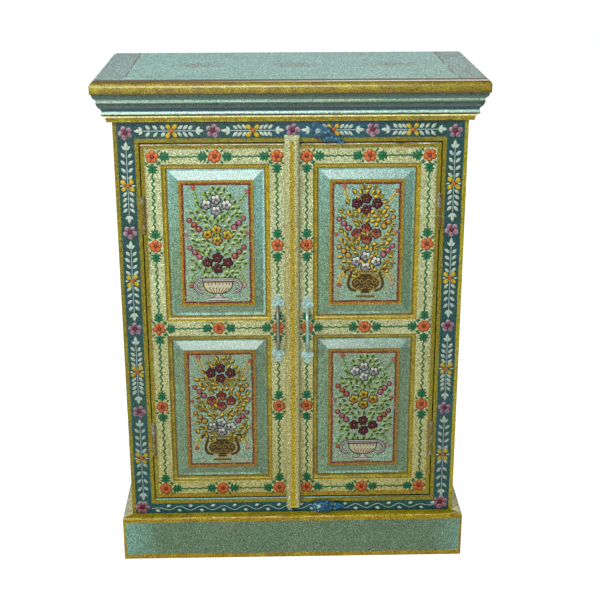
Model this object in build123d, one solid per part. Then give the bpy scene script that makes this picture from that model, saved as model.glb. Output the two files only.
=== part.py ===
"""Painted desktop cabinet: a carcass with a face frame, a plinth and a cornice, and two
framed-and-panelled doors that meet under a cover strip.

Millimetres. X runs to the right, Y to the back and Z up. The origin is on the floor under the
middle of the whole cabinet, and the doors face -Y. "Depth" is measured back from the front face
of the body, so a negative depth stands proud of that face.
"""
from build123d import *
from math import atan2, degrees
import os

# ---------------------------------------------------------------- driving dimensions
# overall
cabinet_width = 450.0
cabinet_depth = 229.0
cabinet_height = 610.0

# top board
top_thickness = 14.2
top_overhang = 21.5          # past the body in front and at both ends; flush at the back
top_upper_round = 6.4
top_lower_round = 2.0
top_corner_radius = 3.0

# cornice moulding, member by member from the top down: how far out and how tall
crown_cove_out, crown_cove_height, crown_cove_hollow = 19.3, 6.0, 0.8
crown_bead_out, crown_bead_height, crown_bead_bulge = 16.2, 4.8, 1.3
throat_out, throat_height, throat_hollow = 14.9, 6.6, 0.9
lower_bead_out, lower_bead_height, lower_bead_bulge = 11.2, 6.8, 1.3
quirk_height = 0.9
ovolo_out, ovolo_height, ovolo_foot, ovolo_bulge = 10.2, 8.2, 5.8, 1.4

# carcass
side_thickness = 16.0
back_thickness = 6.0
back_rebate = 8.0            # how far the back is let into each side board
back_lift = 12.0             # lower edge of the back above the floor
bottom_thickness = 14.0
housing_depth = 5.0          # how far the bottom board is let into each side board
shelf_thickness = 12.0       # the shelf lies behind the doors' middle rails
shelf_setback = 8.0          # front edge of the shelf behind the doors
shelf_play = 0.5
cleat_thickness = 12.0
cleat_height = 14.0
cleat_setback = 20.0         # both ends of a cleat back from the shelf's edges

# face frame
frame_thickness = 20.0
frame_stile_width = 28.8
upper_rail_height = 58.3     # up to the top board, behind the cornice
lower_rail_height = 38.0
lower_rail_reveal = 18.9     # part of the lower rail seen above the plinth
frame_tenon_length = 18.0
frame_tenon_thickness = 7.0
frame_tenon_shoulder = 6.0

# plinth
plinth_height = 59.1
plinth_thickness = 12.0
plinth_top_round = 4.0
plinth_foot_round = 1.5
plinth_corner_radius = 3.0

# doors
door_thickness = 20.0
door_side_gap = 1.4
door_top_gap = 2.5
door_bottom_gap = 3.7
meeting_gap = 3.4
hinge_stile_width = 22.8
meeting_stile_width = 23.5
door_top_rail = 23.0
door_middle_rail = 19.0
upper_opening_height = 192.5 # between the top and the middle rail; the lower opening takes the rest
door_bottom_rail = 23.0
door_tenon_length = 15.0
door_tenon_shoulder = 5.0
panel_groove_depth = 6.0
panel_play = 1.0             # room left in the groove for the panel to swell
panel_tongue = 5.0           # thickness of the panel's edge
panel_margin_recess = 4.5    # the panel's flat margin lies this far behind the frame's face
panel_margin = 2.4           # flat margin seen between the bead and the raised part
panel_bevel = 10.4
panel_field_step = 0.9       # small upright step between bevel and field
bead_width = 6.2
bead_roll = 5.0              # width of the rounded part of the bead
bead_roll_drop = 2.8
bead_roll_bulge = 1.1
bead_quirk = 0.6

# cover strip over the meeting stiles, fixed to the right-hand door
strip_width = 17.5
strip_centre = 0.75
strip_thickness = 6.5
strip_lower_lap = 10.0       # past the doors' opening, over the frame's rails
strip_upper_lap = 8.0
strip_round = 4.0
strip_end_bevel = 4.8

# butt hinges: the middle of each, in from the lower or the upper end of its door
hinge_insets = {"left": {"lower": 81.8, "upper": 83.0}, "right": {"lower": 79.3, "upper": 81.0}}
hinge_length = 44.0
hinge_notch_play = 0.4
leaf_thickness = 1.0
leaf_depth = 15.0
leaf_gap = 2.2               # between the two leaves of a closed hinge
pin_proud = 1.6              # the pin's axis stands this far in front of the face
pin_radius = 1.1
pin_end = 0.6                # how far the pin stands out of the knuckles at each end
pin_clearance = 0.05
knuckle_radius = 2.3
knuckle_gap = 0.3
leaf_clearance = 0.3
hinge_screw_pitch = 28.0
hinge_screw_depth = 8.6
hinge_screw_head_radius = 2.0
hinge_screw_head_height = 0.6
hinge_screw_radius = 1.0
hinge_screw_length = 9.0

# pull handles
handle_length = 87.5
handle_offset = {"left": 16.9, "right": 18.4}
handle_lift = {"left": 0.3, "right": -2.6}   # middle of the handle above the middle rail's
handle_plate_thickness = 1.6
handle_tip_lobe_radius, handle_tip_lobe_height = 3.6, 6.4
handle_side_lobe_radius, handle_side_lobe_reach, handle_side_lobe_drop = 4.1, 3.6, 1.6
handle_root_radius, handle_root_drop = 3.0, 5.2
handle_bar_radius = 2.2
handle_bar_sides = 8         # the bar is forged with flats
handle_projection = 15.6     # centre line of the bar in front of the door
nail_head_radius = 1.3
nail_head_height = 0.6
nail_shank = 1.3
nail_length = 4.0           # short of the panel that lies in the groove behind

# turn latches on the face frame, over and under the right-hand door
latch_top_offset = 30.7      # pivots to the right of the middle
latch_bottom_offset = 33.0
latch_top_lift = 13.5        # upper pivot above the opening
latch_bottom_clearance = 0.6 # between the lower latch and the plinth
latch_top_angle = -25.0      # the tail points right and a little down, just clear of the door
latch_bottom_angle = 0.0
latch_standoff = 2.4
latch_thickness = 2.8
latch_boss_radius = 3.2
latch_head_radius = 8.6
latch_lobe_radius, latch_lobe_along, latch_lobe_side = 3.6, 10.0, 5.6
latch_waist_radius, latch_waist_along = 5.4, 13.0
latch_tip_radius, latch_tip_along = 2.4, 30.2
latch_screw_radius = 1.5
latch_screw_head_radius = 3.0
latch_screw_head_height = 1.6
latch_screw_head_bevel = 1.0
latch_screw_length = 18.0

# small fixings and knuckles repeat, so they are drawn with few sides
fixing_sides = 6
turned_sides = 12

# ---------------------------------------------------------------- places worked out from them
front_y = top_overhang - cabinet_depth / 2
back_depth = cabinet_depth - top_overhang
body_half = cabinet_width / 2 - top_overhang
inner_half = body_half - side_thickness
top_underside = cabinet_height - top_thickness
carcass_back = back_depth - back_thickness
opening_half = body_half - frame_stile_width
opening_bottom = plinth_height + lower_rail_reveal
opening_top = top_underside - upper_rail_height

door_outer = opening_half - door_side_gap
door_inner = meeting_gap / 2
door_bottom = opening_bottom + door_bottom_gap
door_top = opening_top - door_top_gap
rail_inner = door_inner + meeting_stile_width
rail_outer = door_outer - hinge_stile_width
panel_recess_back = panel_margin_recess + panel_tongue
middle_rail_top = door_top - door_top_rail - upper_opening_height
# each rail's lower and upper edge
door_rails = {
    "top": (door_top - door_top_rail, door_top),
    "middle": (middle_rail_top - door_middle_rail, middle_rail_top),
    "bottom": (door_bottom, door_bottom + door_bottom_rail),
}
middle_rail_centre = middle_rail_top - door_middle_rail / 2
# the two openings of a door, by their lower and upper edge
panel_openings = {
    "upper": (door_rails["middle"][1], door_rails["top"][0]),
    "lower": (door_rails["bottom"][1], door_rails["middle"][0]),
}

shelf_height = middle_rail_centre + shelf_thickness / 2
shelf_underside = shelf_height - shelf_thickness
strip_bottom = opening_bottom - strip_lower_lap
strip_top = opening_top + strip_upper_lap
hinge_heights = {
    side: {"lower": door_bottom + insets["lower"], "upper": door_top - insets["upper"]}
    for side, insets in hinge_insets.items()
}
handle_height = {side: middle_rail_centre + lift for side, lift in handle_lift.items()}
latch_half_width = latch_lobe_side + latch_lobe_radius
# pivot and direction of the tail
latches = {
    "top": ((latch_top_offset, opening_top + latch_top_lift), latch_top_angle),
    "bottom": (
        (latch_bottom_offset, plinth_height + latch_bottom_clearance + latch_half_width),
        latch_bottom_angle,
    ),
}

pin_x = opening_half - leaf_thickness - leaf_gap / 2
door_leaf_seat = pin_x - leaf_gap / 2 - leaf_thickness
leaf_start = knuckle_radius + leaf_clearance - pin_proud
knuckle_length = (hinge_length - 2 * knuckle_gap) / 3


# ---------------------------------------------------------------- small helpers
def block(x, depth, z):
    """A board given by its ends in X, in depth behind the front face, and in Z."""
    size = [high - low for low, high in (x, depth, z)]
    middle = [(low + high) / 2 for low, high in (x, depth, z)]
    return Pos(middle[0], front_y + middle[1], middle[2]) * Box(*size)


def plan_prism(points, z):
    """A prism standing on the outline of X and depth points, between two heights."""
    outline = make_face(Polyline(*[(x, front_y + depth) for x, depth in points], close=True))
    return extrude(Pos(0, 0, z[0]) * outline, z[1] - z[0])


def front_prism(points, depth):
    """A prism on the outline of X and Z points, between two depths."""
    plane = Plane(origin=(0, front_y + depth[1], 0), x_dir=(1, 0, 0), z_dir=(0, -1, 0))
    return extrude(plane * make_face(Polyline(*points, close=True)), depth[1] - depth[0])


def run_of(section, start, across, along, length):
    """Extrude a section from start, with its X axis laid across the run."""
    return extrude(Plane(origin=start, x_dir=across, z_dir=along) * section, length)


def to_side(part, side):
    """Parts are modelled on the right; the left ones are their mirror image."""
    return mirror(part, about=Plane.YZ) if side == "left" else part


def group(solids):
    """Like pieces kept together in one node, as separate solids."""
    return Compound(children=list(solids))


# ---------------------------------------------------------------- top, cornice and plinth
def top_board():
    """Board with a rounded nose in front and at both ends, and square at the back."""
    middle = top_underside + top_thickness / 2
    board = Pos(0, 0, middle) * Box(cabinet_width, cabinet_depth, top_thickness)
    rounded_corners = fillet(board.edges().filter_by(Axis.Z), top_corner_radius)
    upper_edges = board.edges().group_by(Axis.Z)[-1].sort_by(Axis.Y)[:-1]
    board = fillet(upper_edges, top_upper_round)
    lower_edges = board.edges().group_by(Axis.Z)[0].sort_by(Axis.Y)[:-1]
    return fillet(lower_edges, top_lower_round) & rounded_corners


def cornice_section():
    """Section of the cornice: X out from the body, Y up, zero under the top board."""
    cove_foot = -crown_cove_height
    bead_foot = cove_foot - crown_bead_height
    throat_foot = bead_foot - throat_height
    lower_foot = throat_foot - lower_bead_height
    ovolo_top = lower_foot - quirk_height
    foot = ovolo_top - ovolo_height
    outline = [
        Line((0, foot), (0, 0)),
        Line((0, 0), (crown_cove_out, 0)),
        SagittaArc((crown_cove_out, 0), (crown_bead_out, cove_foot), crown_cove_hollow),
        SagittaArc((crown_bead_out, cove_foot), (crown_bead_out, bead_foot), -crown_bead_bulge),
        Line((crown_bead_out, bead_foot), (throat_out, bead_foot)),
        SagittaArc((throat_out, bead_foot), (lower_bead_out, throat_foot), throat_hollow),
        SagittaArc((lower_bead_out, throat_foot), (lower_bead_out, lower_foot), -lower_bead_bulge),
        Line((lower_bead_out, lower_foot), (ovolo_out, lower_foot)),
        Line((ovolo_out, lower_foot), (ovolo_out, ovolo_top)),
        SagittaArc((ovolo_out, ovolo_top), (ovolo_foot, foot), -ovolo_bulge),
        Line((ovolo_foot, foot), (0, foot)),
    ]
    return make_face(outline), foot


def plinth_section():
    """Section of the plinth: X out from the body, Y up from the floor."""
    board = Pos(plinth_thickness / 2, plinth_height / 2) * Rectangle(plinth_thickness, plinth_height)
    outer = board.vertices().group_by(Axis.X)[-1].sort_by(Axis.Y)
    board = fillet(outer[-1], plinth_top_round)
    outer = board.vertices().group_by(Axis.X)[-1].sort_by(Axis.Y)
    return fillet(outer[0], plinth_foot_round)


def mitred_runs(section, out, base, bottom, top):
    """Front, left and right lengths of a moulding round the body, mitred at the front corners."""
    outer, front = body_half + out, -out
    front_run = run_of(section, (outer, front_y, base), (0, -1, 0), (-1, 0, 0), 2 * outer)
    front_run &= plan_prism(
        [(-body_half, 0), (body_half, 0), (outer, front), (-outer, front)], (bottom, top)
    )
    right_start = (body_half, front_y + back_depth, base)
    right_run = run_of(section, right_start, (1, 0, 0), (0, -1, 0), back_depth + out)
    right_run &= plan_prism(
        [(body_half, 0), (outer, front), (outer, back_depth), (body_half, back_depth)], (bottom, top)
    )
    return {"front": front_run, "right": right_run, "left": to_side(right_run, "left")}


def cornice():
    section, foot = cornice_section()
    return mitred_runs(section, top_overhang, top_underside, top_underside + foot, top_underside)


def plinth():
    runs = mitred_runs(plinth_section(), plinth_thickness, 0, 0, plinth_height)
    reach = body_half + plinth_thickness
    depth = back_depth + plinth_thickness
    rounded = Pos(0, front_y - plinth_thickness + depth / 2, plinth_height / 2) * Box(
        2 * reach, depth, plinth_height
    )
    front_corners = rounded.edges().filter_by(Axis.Z).group_by(Axis.Y)[0]
    rounded = fillet(front_corners, plinth_corner_radius)
    return {name: run & rounded for name, run in runs.items()}


# ---------------------------------------------------------------- carcass
def side_board(side):
    board = block((inner_half, body_half), (frame_thickness, back_depth), (0, top_underside))
    board -= block(
        (inner_half, inner_half + back_rebate), (carcass_back, back_depth), (back_lift, top_underside)
    )
    board -= block(
        (inner_half, inner_half + housing_depth),
        (frame_thickness, carcass_back),
        (opening_bottom - bottom_thickness, opening_bottom),
    )
    return to_side(board, side)


def back_panel():
    reach = inner_half + back_rebate
    return block((-reach, reach), (carcass_back, back_depth), (back_lift, top_underside))


def bottom_board():
    reach = inner_half + housing_depth
    height = (opening_bottom - bottom_thickness, opening_bottom)
    return block((-reach, reach), (frame_thickness, carcass_back), height)


def shelf_front():
    return frame_thickness + shelf_setback


def shelf():
    reach = inner_half - shelf_play
    height = (shelf_underside, shelf_height)
    return block((-reach, reach), (shelf_front(), carcass_back - shelf_play), height)


def shelf_cleat(side):
    depth = (shelf_front() + cleat_setback, carcass_back - cleat_setback)
    height = (shelf_underside - cleat_height, shelf_underside)
    return to_side(block((inner_half - cleat_thickness, inner_half), depth, height), side)


# ---------------------------------------------------------------- face frame
frame_tenon_depth = (
    (frame_thickness - frame_tenon_thickness) / 2,
    (frame_thickness + frame_tenon_thickness) / 2,
)
frame_rails = {
    "top": (opening_top, top_underside),
    "bottom": (opening_bottom - lower_rail_height, opening_bottom),
}


def frame_tenon(rail):
    """The tenon at the right-hand end of a rail, and the mortise that it fills."""
    low, high = frame_rails[rail]
    height = (low + frame_tenon_shoulder, high - frame_tenon_shoulder)
    return block((opening_half, opening_half + frame_tenon_length), frame_tenon_depth, height)


def frame_stile(side):
    stile = block((opening_half, body_half), (0, frame_thickness), (0, top_underside))
    for rail in frame_rails:
        stile -= frame_tenon(rail)
    for height in hinge_heights[side].values():
        for screw in hinge_screws(height, "frame"):
            stile -= screw
    return to_side(stile, side)


def frame_rail(rail):
    board = block((-opening_half, opening_half), (0, frame_thickness), frame_rails[rail])
    board += frame_tenon(rail)
    board += to_side(frame_tenon(rail), "left")
    return board - latch_screw(rail)


# ---------------------------------------------------------------- doors
def door_tenon_height(rail):
    low, high = door_rails[rail]
    lower_step = door_tenon_shoulder if rail == "bottom" else panel_groove_depth
    upper_step = door_tenon_shoulder if rail == "top" else panel_groove_depth
    return low + lower_step, high - upper_step


def door_stile(side, edge):
    """The hinge stile or the meeting stile, grooved for the panels and mortised for the rails."""
    grooves_depth = (panel_margin_recess, panel_recess_back)
    grooves_height = (door_bottom + door_tenon_shoulder, door_top - door_tenon_shoulder)
    if edge == "hinge":
        stile = block((rail_outer, door_outer), (0, door_thickness), (door_bottom, door_top))
        groove = (rail_outer, rail_outer + panel_groove_depth)
        mortise = (rail_outer, rail_outer + door_tenon_length)
    else:
        stile = block((door_inner, rail_inner), (0, door_thickness), (door_bottom, door_top))
        groove = (rail_inner - panel_groove_depth, rail_inner)
        mortise = (rail_inner - door_tenon_length, rail_inner)
    stile -= block(groove, grooves_depth, grooves_height)
    for rail in door_rails:
        stile -= block(mortise, grooves_depth, door_tenon_height(rail))
    if edge == "hinge":
        for height in hinge_heights[side].values():
            stile -= hinge_notch(height)
            for screw in hinge_screws(height, "door"):
                stile -= screw
    else:
        for nail in handle_nails(side):
            stile -= nail
    return to_side(stile, side)


def door_rail(side, rail):
    low, high = door_rails[rail]
    grooves_depth = (panel_margin_recess, panel_recess_back)
    board = block((rail_inner, rail_outer), (0, door_thickness), (low, high))
    board += block(
        (rail_inner - door_tenon_length, rail_outer + door_tenon_length),
        grooves_depth,
        door_tenon_height(rail),
    )
    across = (rail_inner - door_tenon_length, rail_outer + door_tenon_length)
    if rail != "top":
        board -= block(across, grooves_depth, (high - panel_groove_depth, high))
    if rail != "bottom":
        board -= block(across, grooves_depth, (low, low + panel_groove_depth))
    return to_side(board, side)


def inset_rectangle(level, inset, depth):
    """A rectangle inside a door opening, facing forwards at a depth."""
    low, high = panel_openings[level]
    plane = Plane(
        origin=((rail_inner + rail_outer) / 2, front_y + depth, (low + high) / 2),
        x_dir=(1, 0, 0),
        z_dir=(0, -1, 0),
    )
    return plane * Rectangle(rail_outer - rail_inner - 2 * inset, high - low - 2 * inset)


def raised_panel(side, level):
    """Tongue all round, flat margin, bevel, and a field standing up from it, flush with the door."""
    engaged = panel_groove_depth - panel_play
    panel = extrude(inset_rectangle(level, -engaged, panel_recess_back), panel_tongue)
    bevel_foot = bead_width + panel_margin
    field = bevel_foot + panel_bevel
    rise = panel_margin_recess - panel_field_step
    slope = degrees(atan2(panel_bevel, rise))
    panel += extrude(inset_rectangle(level, bevel_foot, panel_margin_recess), rise, taper=slope)
    panel += extrude(inset_rectangle(level, field, panel_field_step), panel_field_step)
    return to_side(panel, side)


def bead_section():
    """Bead between door frame and panel: X in from the frame, Y forwards, zero at the face."""
    roll_foot = -bead_roll_drop
    quirk_foot = roll_foot - bead_quirk
    back = -panel_margin_recess
    return make_face([
        Line((0, back), (0, 0)),
        SagittaArc((0, 0), (bead_roll, roll_foot), -bead_roll_bulge),
        Line((bead_roll, roll_foot), (bead_roll, quirk_foot)),
        Line((bead_roll, quirk_foot), (bead_width, quirk_foot)),
        Line((bead_width, quirk_foot), (bead_width, back)),
        Line((bead_width, back), (0, back)),
    ])


def panel_beads(side, level):
    """Four lengths of bead, mitred where they meet, that hold a panel in its opening."""
    low, high = panel_openings[level]
    corners = [(rail_inner, high), (rail_inner, low), (rail_outer, low), (rail_outer, high)]
    lengths = []
    for index, (x, z) in enumerate(corners):
        next_x, next_z = corners[(index + 1) % len(corners)]
        length = abs(next_x - x) + abs(next_z - z)
        along = ((next_x - x) / length, 0, (next_z - z) / length)
        across = (-along[2], 0, along[0])
        run = run_of(bead_section(), (x, front_y, z), across, along, length)
        inner_start = (x + bead_width * (along[0] + across[0]), z + bead_width * (along[2] + across[2]))
        inner_end = (
            next_x + bead_width * (across[0] - along[0]),
            next_z + bead_width * (across[2] - along[2]),
        )
        mitred = front_prism(
            [(x, z), (next_x, next_z), inner_end, inner_start], (-panel_margin_recess, panel_margin_recess)
        )
        lengths.append(to_side(run & mitred, side))
    return group(lengths)


def cover_strip():
    """Strip with rounded front edges and a bevelled upper end."""
    left, right = strip_centre - strip_width / 2, strip_centre + strip_width / 2
    strip = block((left, right), (-strip_thickness, 0), (strip_bottom, strip_top))
    upper_end = strip.edges().group_by(Axis.Z)[-1].sort_by(Axis.Y)[0]
    strip = chamfer(upper_end, strip_end_bevel)
    long_edges = [
        edge for edge in strip.edges().filter_by(Axis.Z)
        if edge.center().Y < front_y - strip_thickness / 2
    ]
    return fillet(long_edges, strip_round)


# ---------------------------------------------------------------- hinges
def sunk_screw():
    """Flat-headed screw along Z: top of the head at zero, shank downwards."""
    head = extrude(RegularPolygon(hinge_screw_head_radius, fixing_sides), -hinge_screw_head_height)
    return head + extrude(RegularPolygon(hinge_screw_radius, fixing_sides), -hinge_screw_length)


def hinge_screws(height, leaf):
    """The two screws of one leaf, as they sit in it."""
    if leaf == "frame":
        face, facing = opening_half - leaf_thickness, (-1, 0, 0)
    else:
        face, facing = door_leaf_seat + leaf_thickness, (1, 0, 0)
    screw = sunk_screw()
    screws = []
    for step in (-0.5, 0.5):
        seat = (face, front_y + hinge_screw_depth, height + step * hinge_screw_pitch)
        screws.append(Plane(origin=seat, x_dir=(0, 1, 0), z_dir=facing) * screw)
    return screws


def hinge_notch(height):
    """The notch in the door's edge that takes the whole hinge."""
    reach = hinge_length / 2 + hinge_notch_play
    return block(
        (door_leaf_seat, door_outer), (0, leaf_depth + hinge_notch_play), (height - reach, height + reach)
    )


def hinge_leaf(height, leaf):
    """A leaf and its knuckles: the outer two on the frame leaf, the middle one on the door leaf."""
    bottom = height - hinge_length / 2
    pitch = knuckle_length + knuckle_gap
    if leaf == "frame":
        plate_x = (opening_half - leaf_thickness, opening_half)
        knuckle_feet = [bottom, bottom + 2 * pitch]
    else:
        plate_x = (door_leaf_seat, door_leaf_seat + leaf_thickness)
        knuckle_feet = [bottom + pitch]
    plate = block(plate_x, (leaf_start, leaf_depth), (bottom, bottom + hinge_length))
    barrel = extrude(RegularPolygon(knuckle_radius, turned_sides), knuckle_length)
    bore = RegularPolygon(pin_radius + pin_clearance, turned_sides, major_radius=False)
    bore = extrude(bore, knuckle_length)
    for foot in knuckle_feet:
        seat = Pos(pin_x, front_y - pin_proud, foot)
        plate += block(plate_x, (-pin_proud, leaf_start), (foot, foot + knuckle_length))
        plate += seat * barrel
        plate -= seat * bore
    for screw in hinge_screws(height, leaf):
        plate -= screw
    return plate


def hinge_pin(height):
    """Plain pin that stands a little out of the outer knuckles."""
    return Pos(pin_x, front_y - pin_proud, height) * Cylinder(pin_radius, hinge_length + 2 * pin_end)


# ---------------------------------------------------------------- handles
def handle_plate_place(side, end):
    """Where a plate's middle sits on the door, and which way its tip lobe points."""
    plate_reach = handle_length / 2 - handle_tip_lobe_height - handle_tip_lobe_radius
    turn = 0 if end > 0 else 180
    seat = (handle_offset[side], front_y, handle_height[side] + end * plate_reach)
    return Plane(origin=seat, x_dir=(1, 0, 0), z_dir=(0, -1, 0)) * Rot(0, 0, turn)


def handle_lobes():
    """Middles of the tip lobe and the two side lobes of a plate."""
    return [
        (0, handle_tip_lobe_height),
        (-handle_side_lobe_reach, -handle_side_lobe_drop),
        (handle_side_lobe_reach, -handle_side_lobe_drop),
    ]


def handle_plate_outline():
    outline = Sketch()
    radii = [handle_tip_lobe_radius, handle_side_lobe_radius, handle_side_lobe_radius]
    for (x, y), radius in zip(handle_lobes(), radii):
        outline += Pos(x, y) * Circle(radius)
    outline += Pos(0, -handle_root_drop) * Circle(handle_root_radius)
    stem = handle_tip_lobe_height + handle_root_drop
    outline += Pos(0, (handle_tip_lobe_height - handle_root_drop) / 2) * Rectangle(handle_root_radius, stem)
    return outline


def handle(side):
    """Bowed bar between two trefoil plates."""
    plate = extrude(handle_plate_outline(), handle_plate_thickness)
    pull = Part()
    for end in (1, -1):
        pull += handle_plate_place(side, end) * plate
    plate_reach = handle_length / 2 - handle_tip_lobe_height - handle_tip_lobe_radius
    bar_reach = plate_reach - handle_root_drop
    x, z = handle_offset[side], handle_height[side]
    foot_y = front_y - handle_plate_thickness / 2
    bow = ThreePointArc(
        (x, foot_y, z + bar_reach), (x, front_y - handle_projection, z), (x, foot_y, z - bar_reach)
    )
    section = RegularPolygon(handle_bar_radius, handle_bar_sides)
    bar = sweep(Plane(origin=bow @ 0, z_dir=bow % 0) * section, path=bow)
    around = handle_length
    in_front = block((x - around, x + around), (-2 * handle_projection, 0), (z - around, z + around))
    pull += bar & in_front
    for nail in handle_nails(side):
        pull -= nail
    return pull


def handle_nails(side):
    """Nails with a flat head and a square shank, one through each lobe."""
    nails = []
    shank = Pos(0, 0, (handle_plate_thickness - nail_length) / 2) * Box(
        nail_shank, nail_shank, handle_plate_thickness + nail_length
    )
    head = Pos(0, 0, handle_plate_thickness) * RegularPolygon(nail_head_radius, fixing_sides)
    head = extrude(head, nail_head_height)
    for end in (1, -1):
        for x, y in handle_lobes():
            nails.append(handle_plate_place(side, end) * (Pos(x, y) * (shank + head)))
    return nails


# ---------------------------------------------------------------- turn latches
def latch_place(which):
    """Frame on the cabinet's face at a pivot, facing forwards, turned to the tail's direction."""
    (x, z), angle = latches[which]
    return Plane(origin=(x, front_y, z), x_dir=(1, 0, 0), z_dir=(0, -1, 0)) * Rot(0, 0, angle)


def latch(which):
    """Leaf-shaped turn button: round head, two side lobes and a tapering tail, on a boss."""
    tail = make_hull(
        (Pos(latch_waist_along, 0) * Circle(latch_waist_radius)).edges()
        + (Pos(latch_tip_along, 0) * Circle(latch_tip_radius)).edges()
    )
    outline = Circle(latch_head_radius) + tail
    for flank in (-1, 1):
        outline += Pos(latch_lobe_along, flank * latch_lobe_side) * Circle(latch_lobe_radius)
    button = Pos(0, 0, latch_standoff) * extrude(outline, latch_thickness)
    button += Pos(0, 0, latch_standoff / 2) * Cylinder(latch_boss_radius, latch_standoff)
    height = latch_standoff + latch_thickness
    button -= Pos(0, 0, height / 2) * Cylinder(latch_screw_radius + pin_clearance, height)
    return latch_place(which) * button


def latch_screw(which):
    """Round-headed screw that a latch turns on."""
    seat = latch_standoff + latch_thickness
    shank = extrude(RegularPolygon(latch_screw_radius, turned_sides), -latch_screw_length)
    head = extrude(RegularPolygon(latch_screw_head_radius, turned_sides), latch_screw_head_height)
    dome = head.edges().group_by(Axis.Z)[-1]
    head = chamfer(dome, latch_screw_head_bevel)
    return latch_place(which) * (Pos(0, 0, seat) * (shank + head))


# ---------------------------------------------------------------- the whole cabinet
def build_cabinet():
    parts = {
        "top_board": top_board(),
        "back_panel": back_panel(),
        "bottom_board": bottom_board(),
        "shelf": shelf(),
        "cover_strip": cover_strip(),
        "latch_top": latch("top"),
        "latch_bottom": latch("bottom"),
        "latch_screws": group([latch_screw("top"), latch_screw("bottom")]),
    }
    for name, run in cornice().items():
        parts[f"cornice_{name}"] = run
    for name, run in plinth().items():
        parts[f"plinth_{name}"] = run
    for rail in frame_rails:
        parts[f"frame_rail_{rail}"] = frame_rail(rail)
    frame_screws = []
    for side in ("left", "right"):
        parts[f"side_board_{side}"] = side_board(side)
        parts[f"shelf_cleat_{side}"] = shelf_cleat(side)
        parts[f"frame_stile_{side}"] = frame_stile(side)
        door = f"{side}_door"
        parts[f"{door}_hinge_stile"] = door_stile(side, "hinge")
        parts[f"{door}_meeting_stile"] = door_stile(side, "meeting")
        for rail in door_rails:
            parts[f"{door}_{rail}_rail"] = door_rail(side, rail)
        for level in panel_openings:
            parts[f"{door}_{level}_panel"] = raised_panel(side, level)
            parts[f"{door}_{level}_beads"] = panel_beads(side, level)
        parts[f"{side}_handle"] = to_side(handle(side), side)
        parts[f"{side}_handle_nails"] = group(to_side(nail, side) for nail in handle_nails(side))
        door_screws = []
        for level, height in hinge_heights[side].items():
            hinge = f"{side}_{level}_hinge"
            parts[f"{hinge}_frame_leaf"] = to_side(hinge_leaf(height, "frame"), side)
            parts[f"{hinge}_door_leaf"] = to_side(hinge_leaf(height, "door"), side)
            parts[f"{hinge}_pin"] = to_side(hinge_pin(height), side)
            frame_screws += [to_side(screw, side) for screw in hinge_screws(height, "frame")]
            door_screws += [to_side(screw, side) for screw in hinge_screws(height, "door")]
        parts[f"{side}_door_hinge_screws"] = group(door_screws)
    parts["frame_hinge_screws"] = group(frame_screws)
    return parts


os.makedirs("parts", exist_ok=True)
for node, shape in build_cabinet().items():
    export_step(shape, f"parts/{node}.step")
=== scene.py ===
"""Looks of a small hand-painted cabinet with two panelled doors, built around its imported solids.

Everything is drawn in millimetres, and MM turns that to the metres of the scene.
X runs to the right along the front, Y runs back, and Z runs up from the floor.
"""

import math
import random

import bmesh
import bpy
from mathutils import Matrix, Vector


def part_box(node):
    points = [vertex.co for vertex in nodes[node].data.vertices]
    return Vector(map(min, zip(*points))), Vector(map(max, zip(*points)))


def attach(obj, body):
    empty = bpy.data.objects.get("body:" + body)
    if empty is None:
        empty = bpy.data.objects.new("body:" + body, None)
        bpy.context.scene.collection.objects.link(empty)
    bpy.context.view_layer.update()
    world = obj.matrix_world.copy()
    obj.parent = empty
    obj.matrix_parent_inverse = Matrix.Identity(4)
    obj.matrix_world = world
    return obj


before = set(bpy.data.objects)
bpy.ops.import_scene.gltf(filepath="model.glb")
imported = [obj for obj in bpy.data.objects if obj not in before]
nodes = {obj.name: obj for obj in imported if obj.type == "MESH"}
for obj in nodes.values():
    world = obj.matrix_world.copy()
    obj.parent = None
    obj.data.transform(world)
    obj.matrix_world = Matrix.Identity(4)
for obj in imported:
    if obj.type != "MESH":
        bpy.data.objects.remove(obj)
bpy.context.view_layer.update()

MM = 0.001
SIDES = ("left", "right")
LEVELS = ("upper", "lower")


# ---------------------------------------------------------------- sizes read from the solids
def span(node, axis):
    """Lowest and highest place of a solid along an axis, in millimetres."""
    low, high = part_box(node)
    return low[axis] / MM, high[axis] / MM


front_y = span("frame_stile_left", 1)[0]
opening_half, body_half = span("frame_stile_right", 0)
sill_height = span("frame_rail_bottom", 2)[1]
head_height = span("frame_rail_top", 2)[0]
door_inner = span("right_door_meeting_stile", 0)[0]
door_outer = span("right_door_hinge_stile", 0)[1]
door_foot, door_head = span("right_door_hinge_stile", 2)
plinth_half = span("plinth_front", 0)[1]
plinth_front = span("plinth_front", 1)[0]
plinth_top = span("plinth_front", 2)[1]
cornice_foot = span("cornice_front", 2)[0]
top_half = span("top_board", 0)[1]
top_front = span("top_board", 1)[0]
top_height = span("top_board", 2)[1]
strip_left, strip_right = span("cover_strip", 0)
strip_head = span("cover_strip", 2)[1]
panel_opening = {
    level: (span(f"right_door_{level}_beads", 0), span(f"right_door_{level}_beads", 2)) for level in LEVELS
}

# the panel, counted inwards from the outer edge of its beads
bead_roll_width = 5.0
quirk_width = 0.6
bead_width = 6.2
margin_width = 2.4
bevel_width = 10.4
field_inset = bead_width + margin_width + bevel_width

# the cornice, counted upwards from its foot
ovolo_top = cornice_foot + 9.1
lower_bead_foot = cornice_foot + 11.2
lower_bead_top = cornice_foot + 15.1
throat_middle = cornice_foot + 20.5
crown_bead_crest = cornice_foot + 25.9
crown_cove_middle = cornice_foot + 32.5

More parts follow.
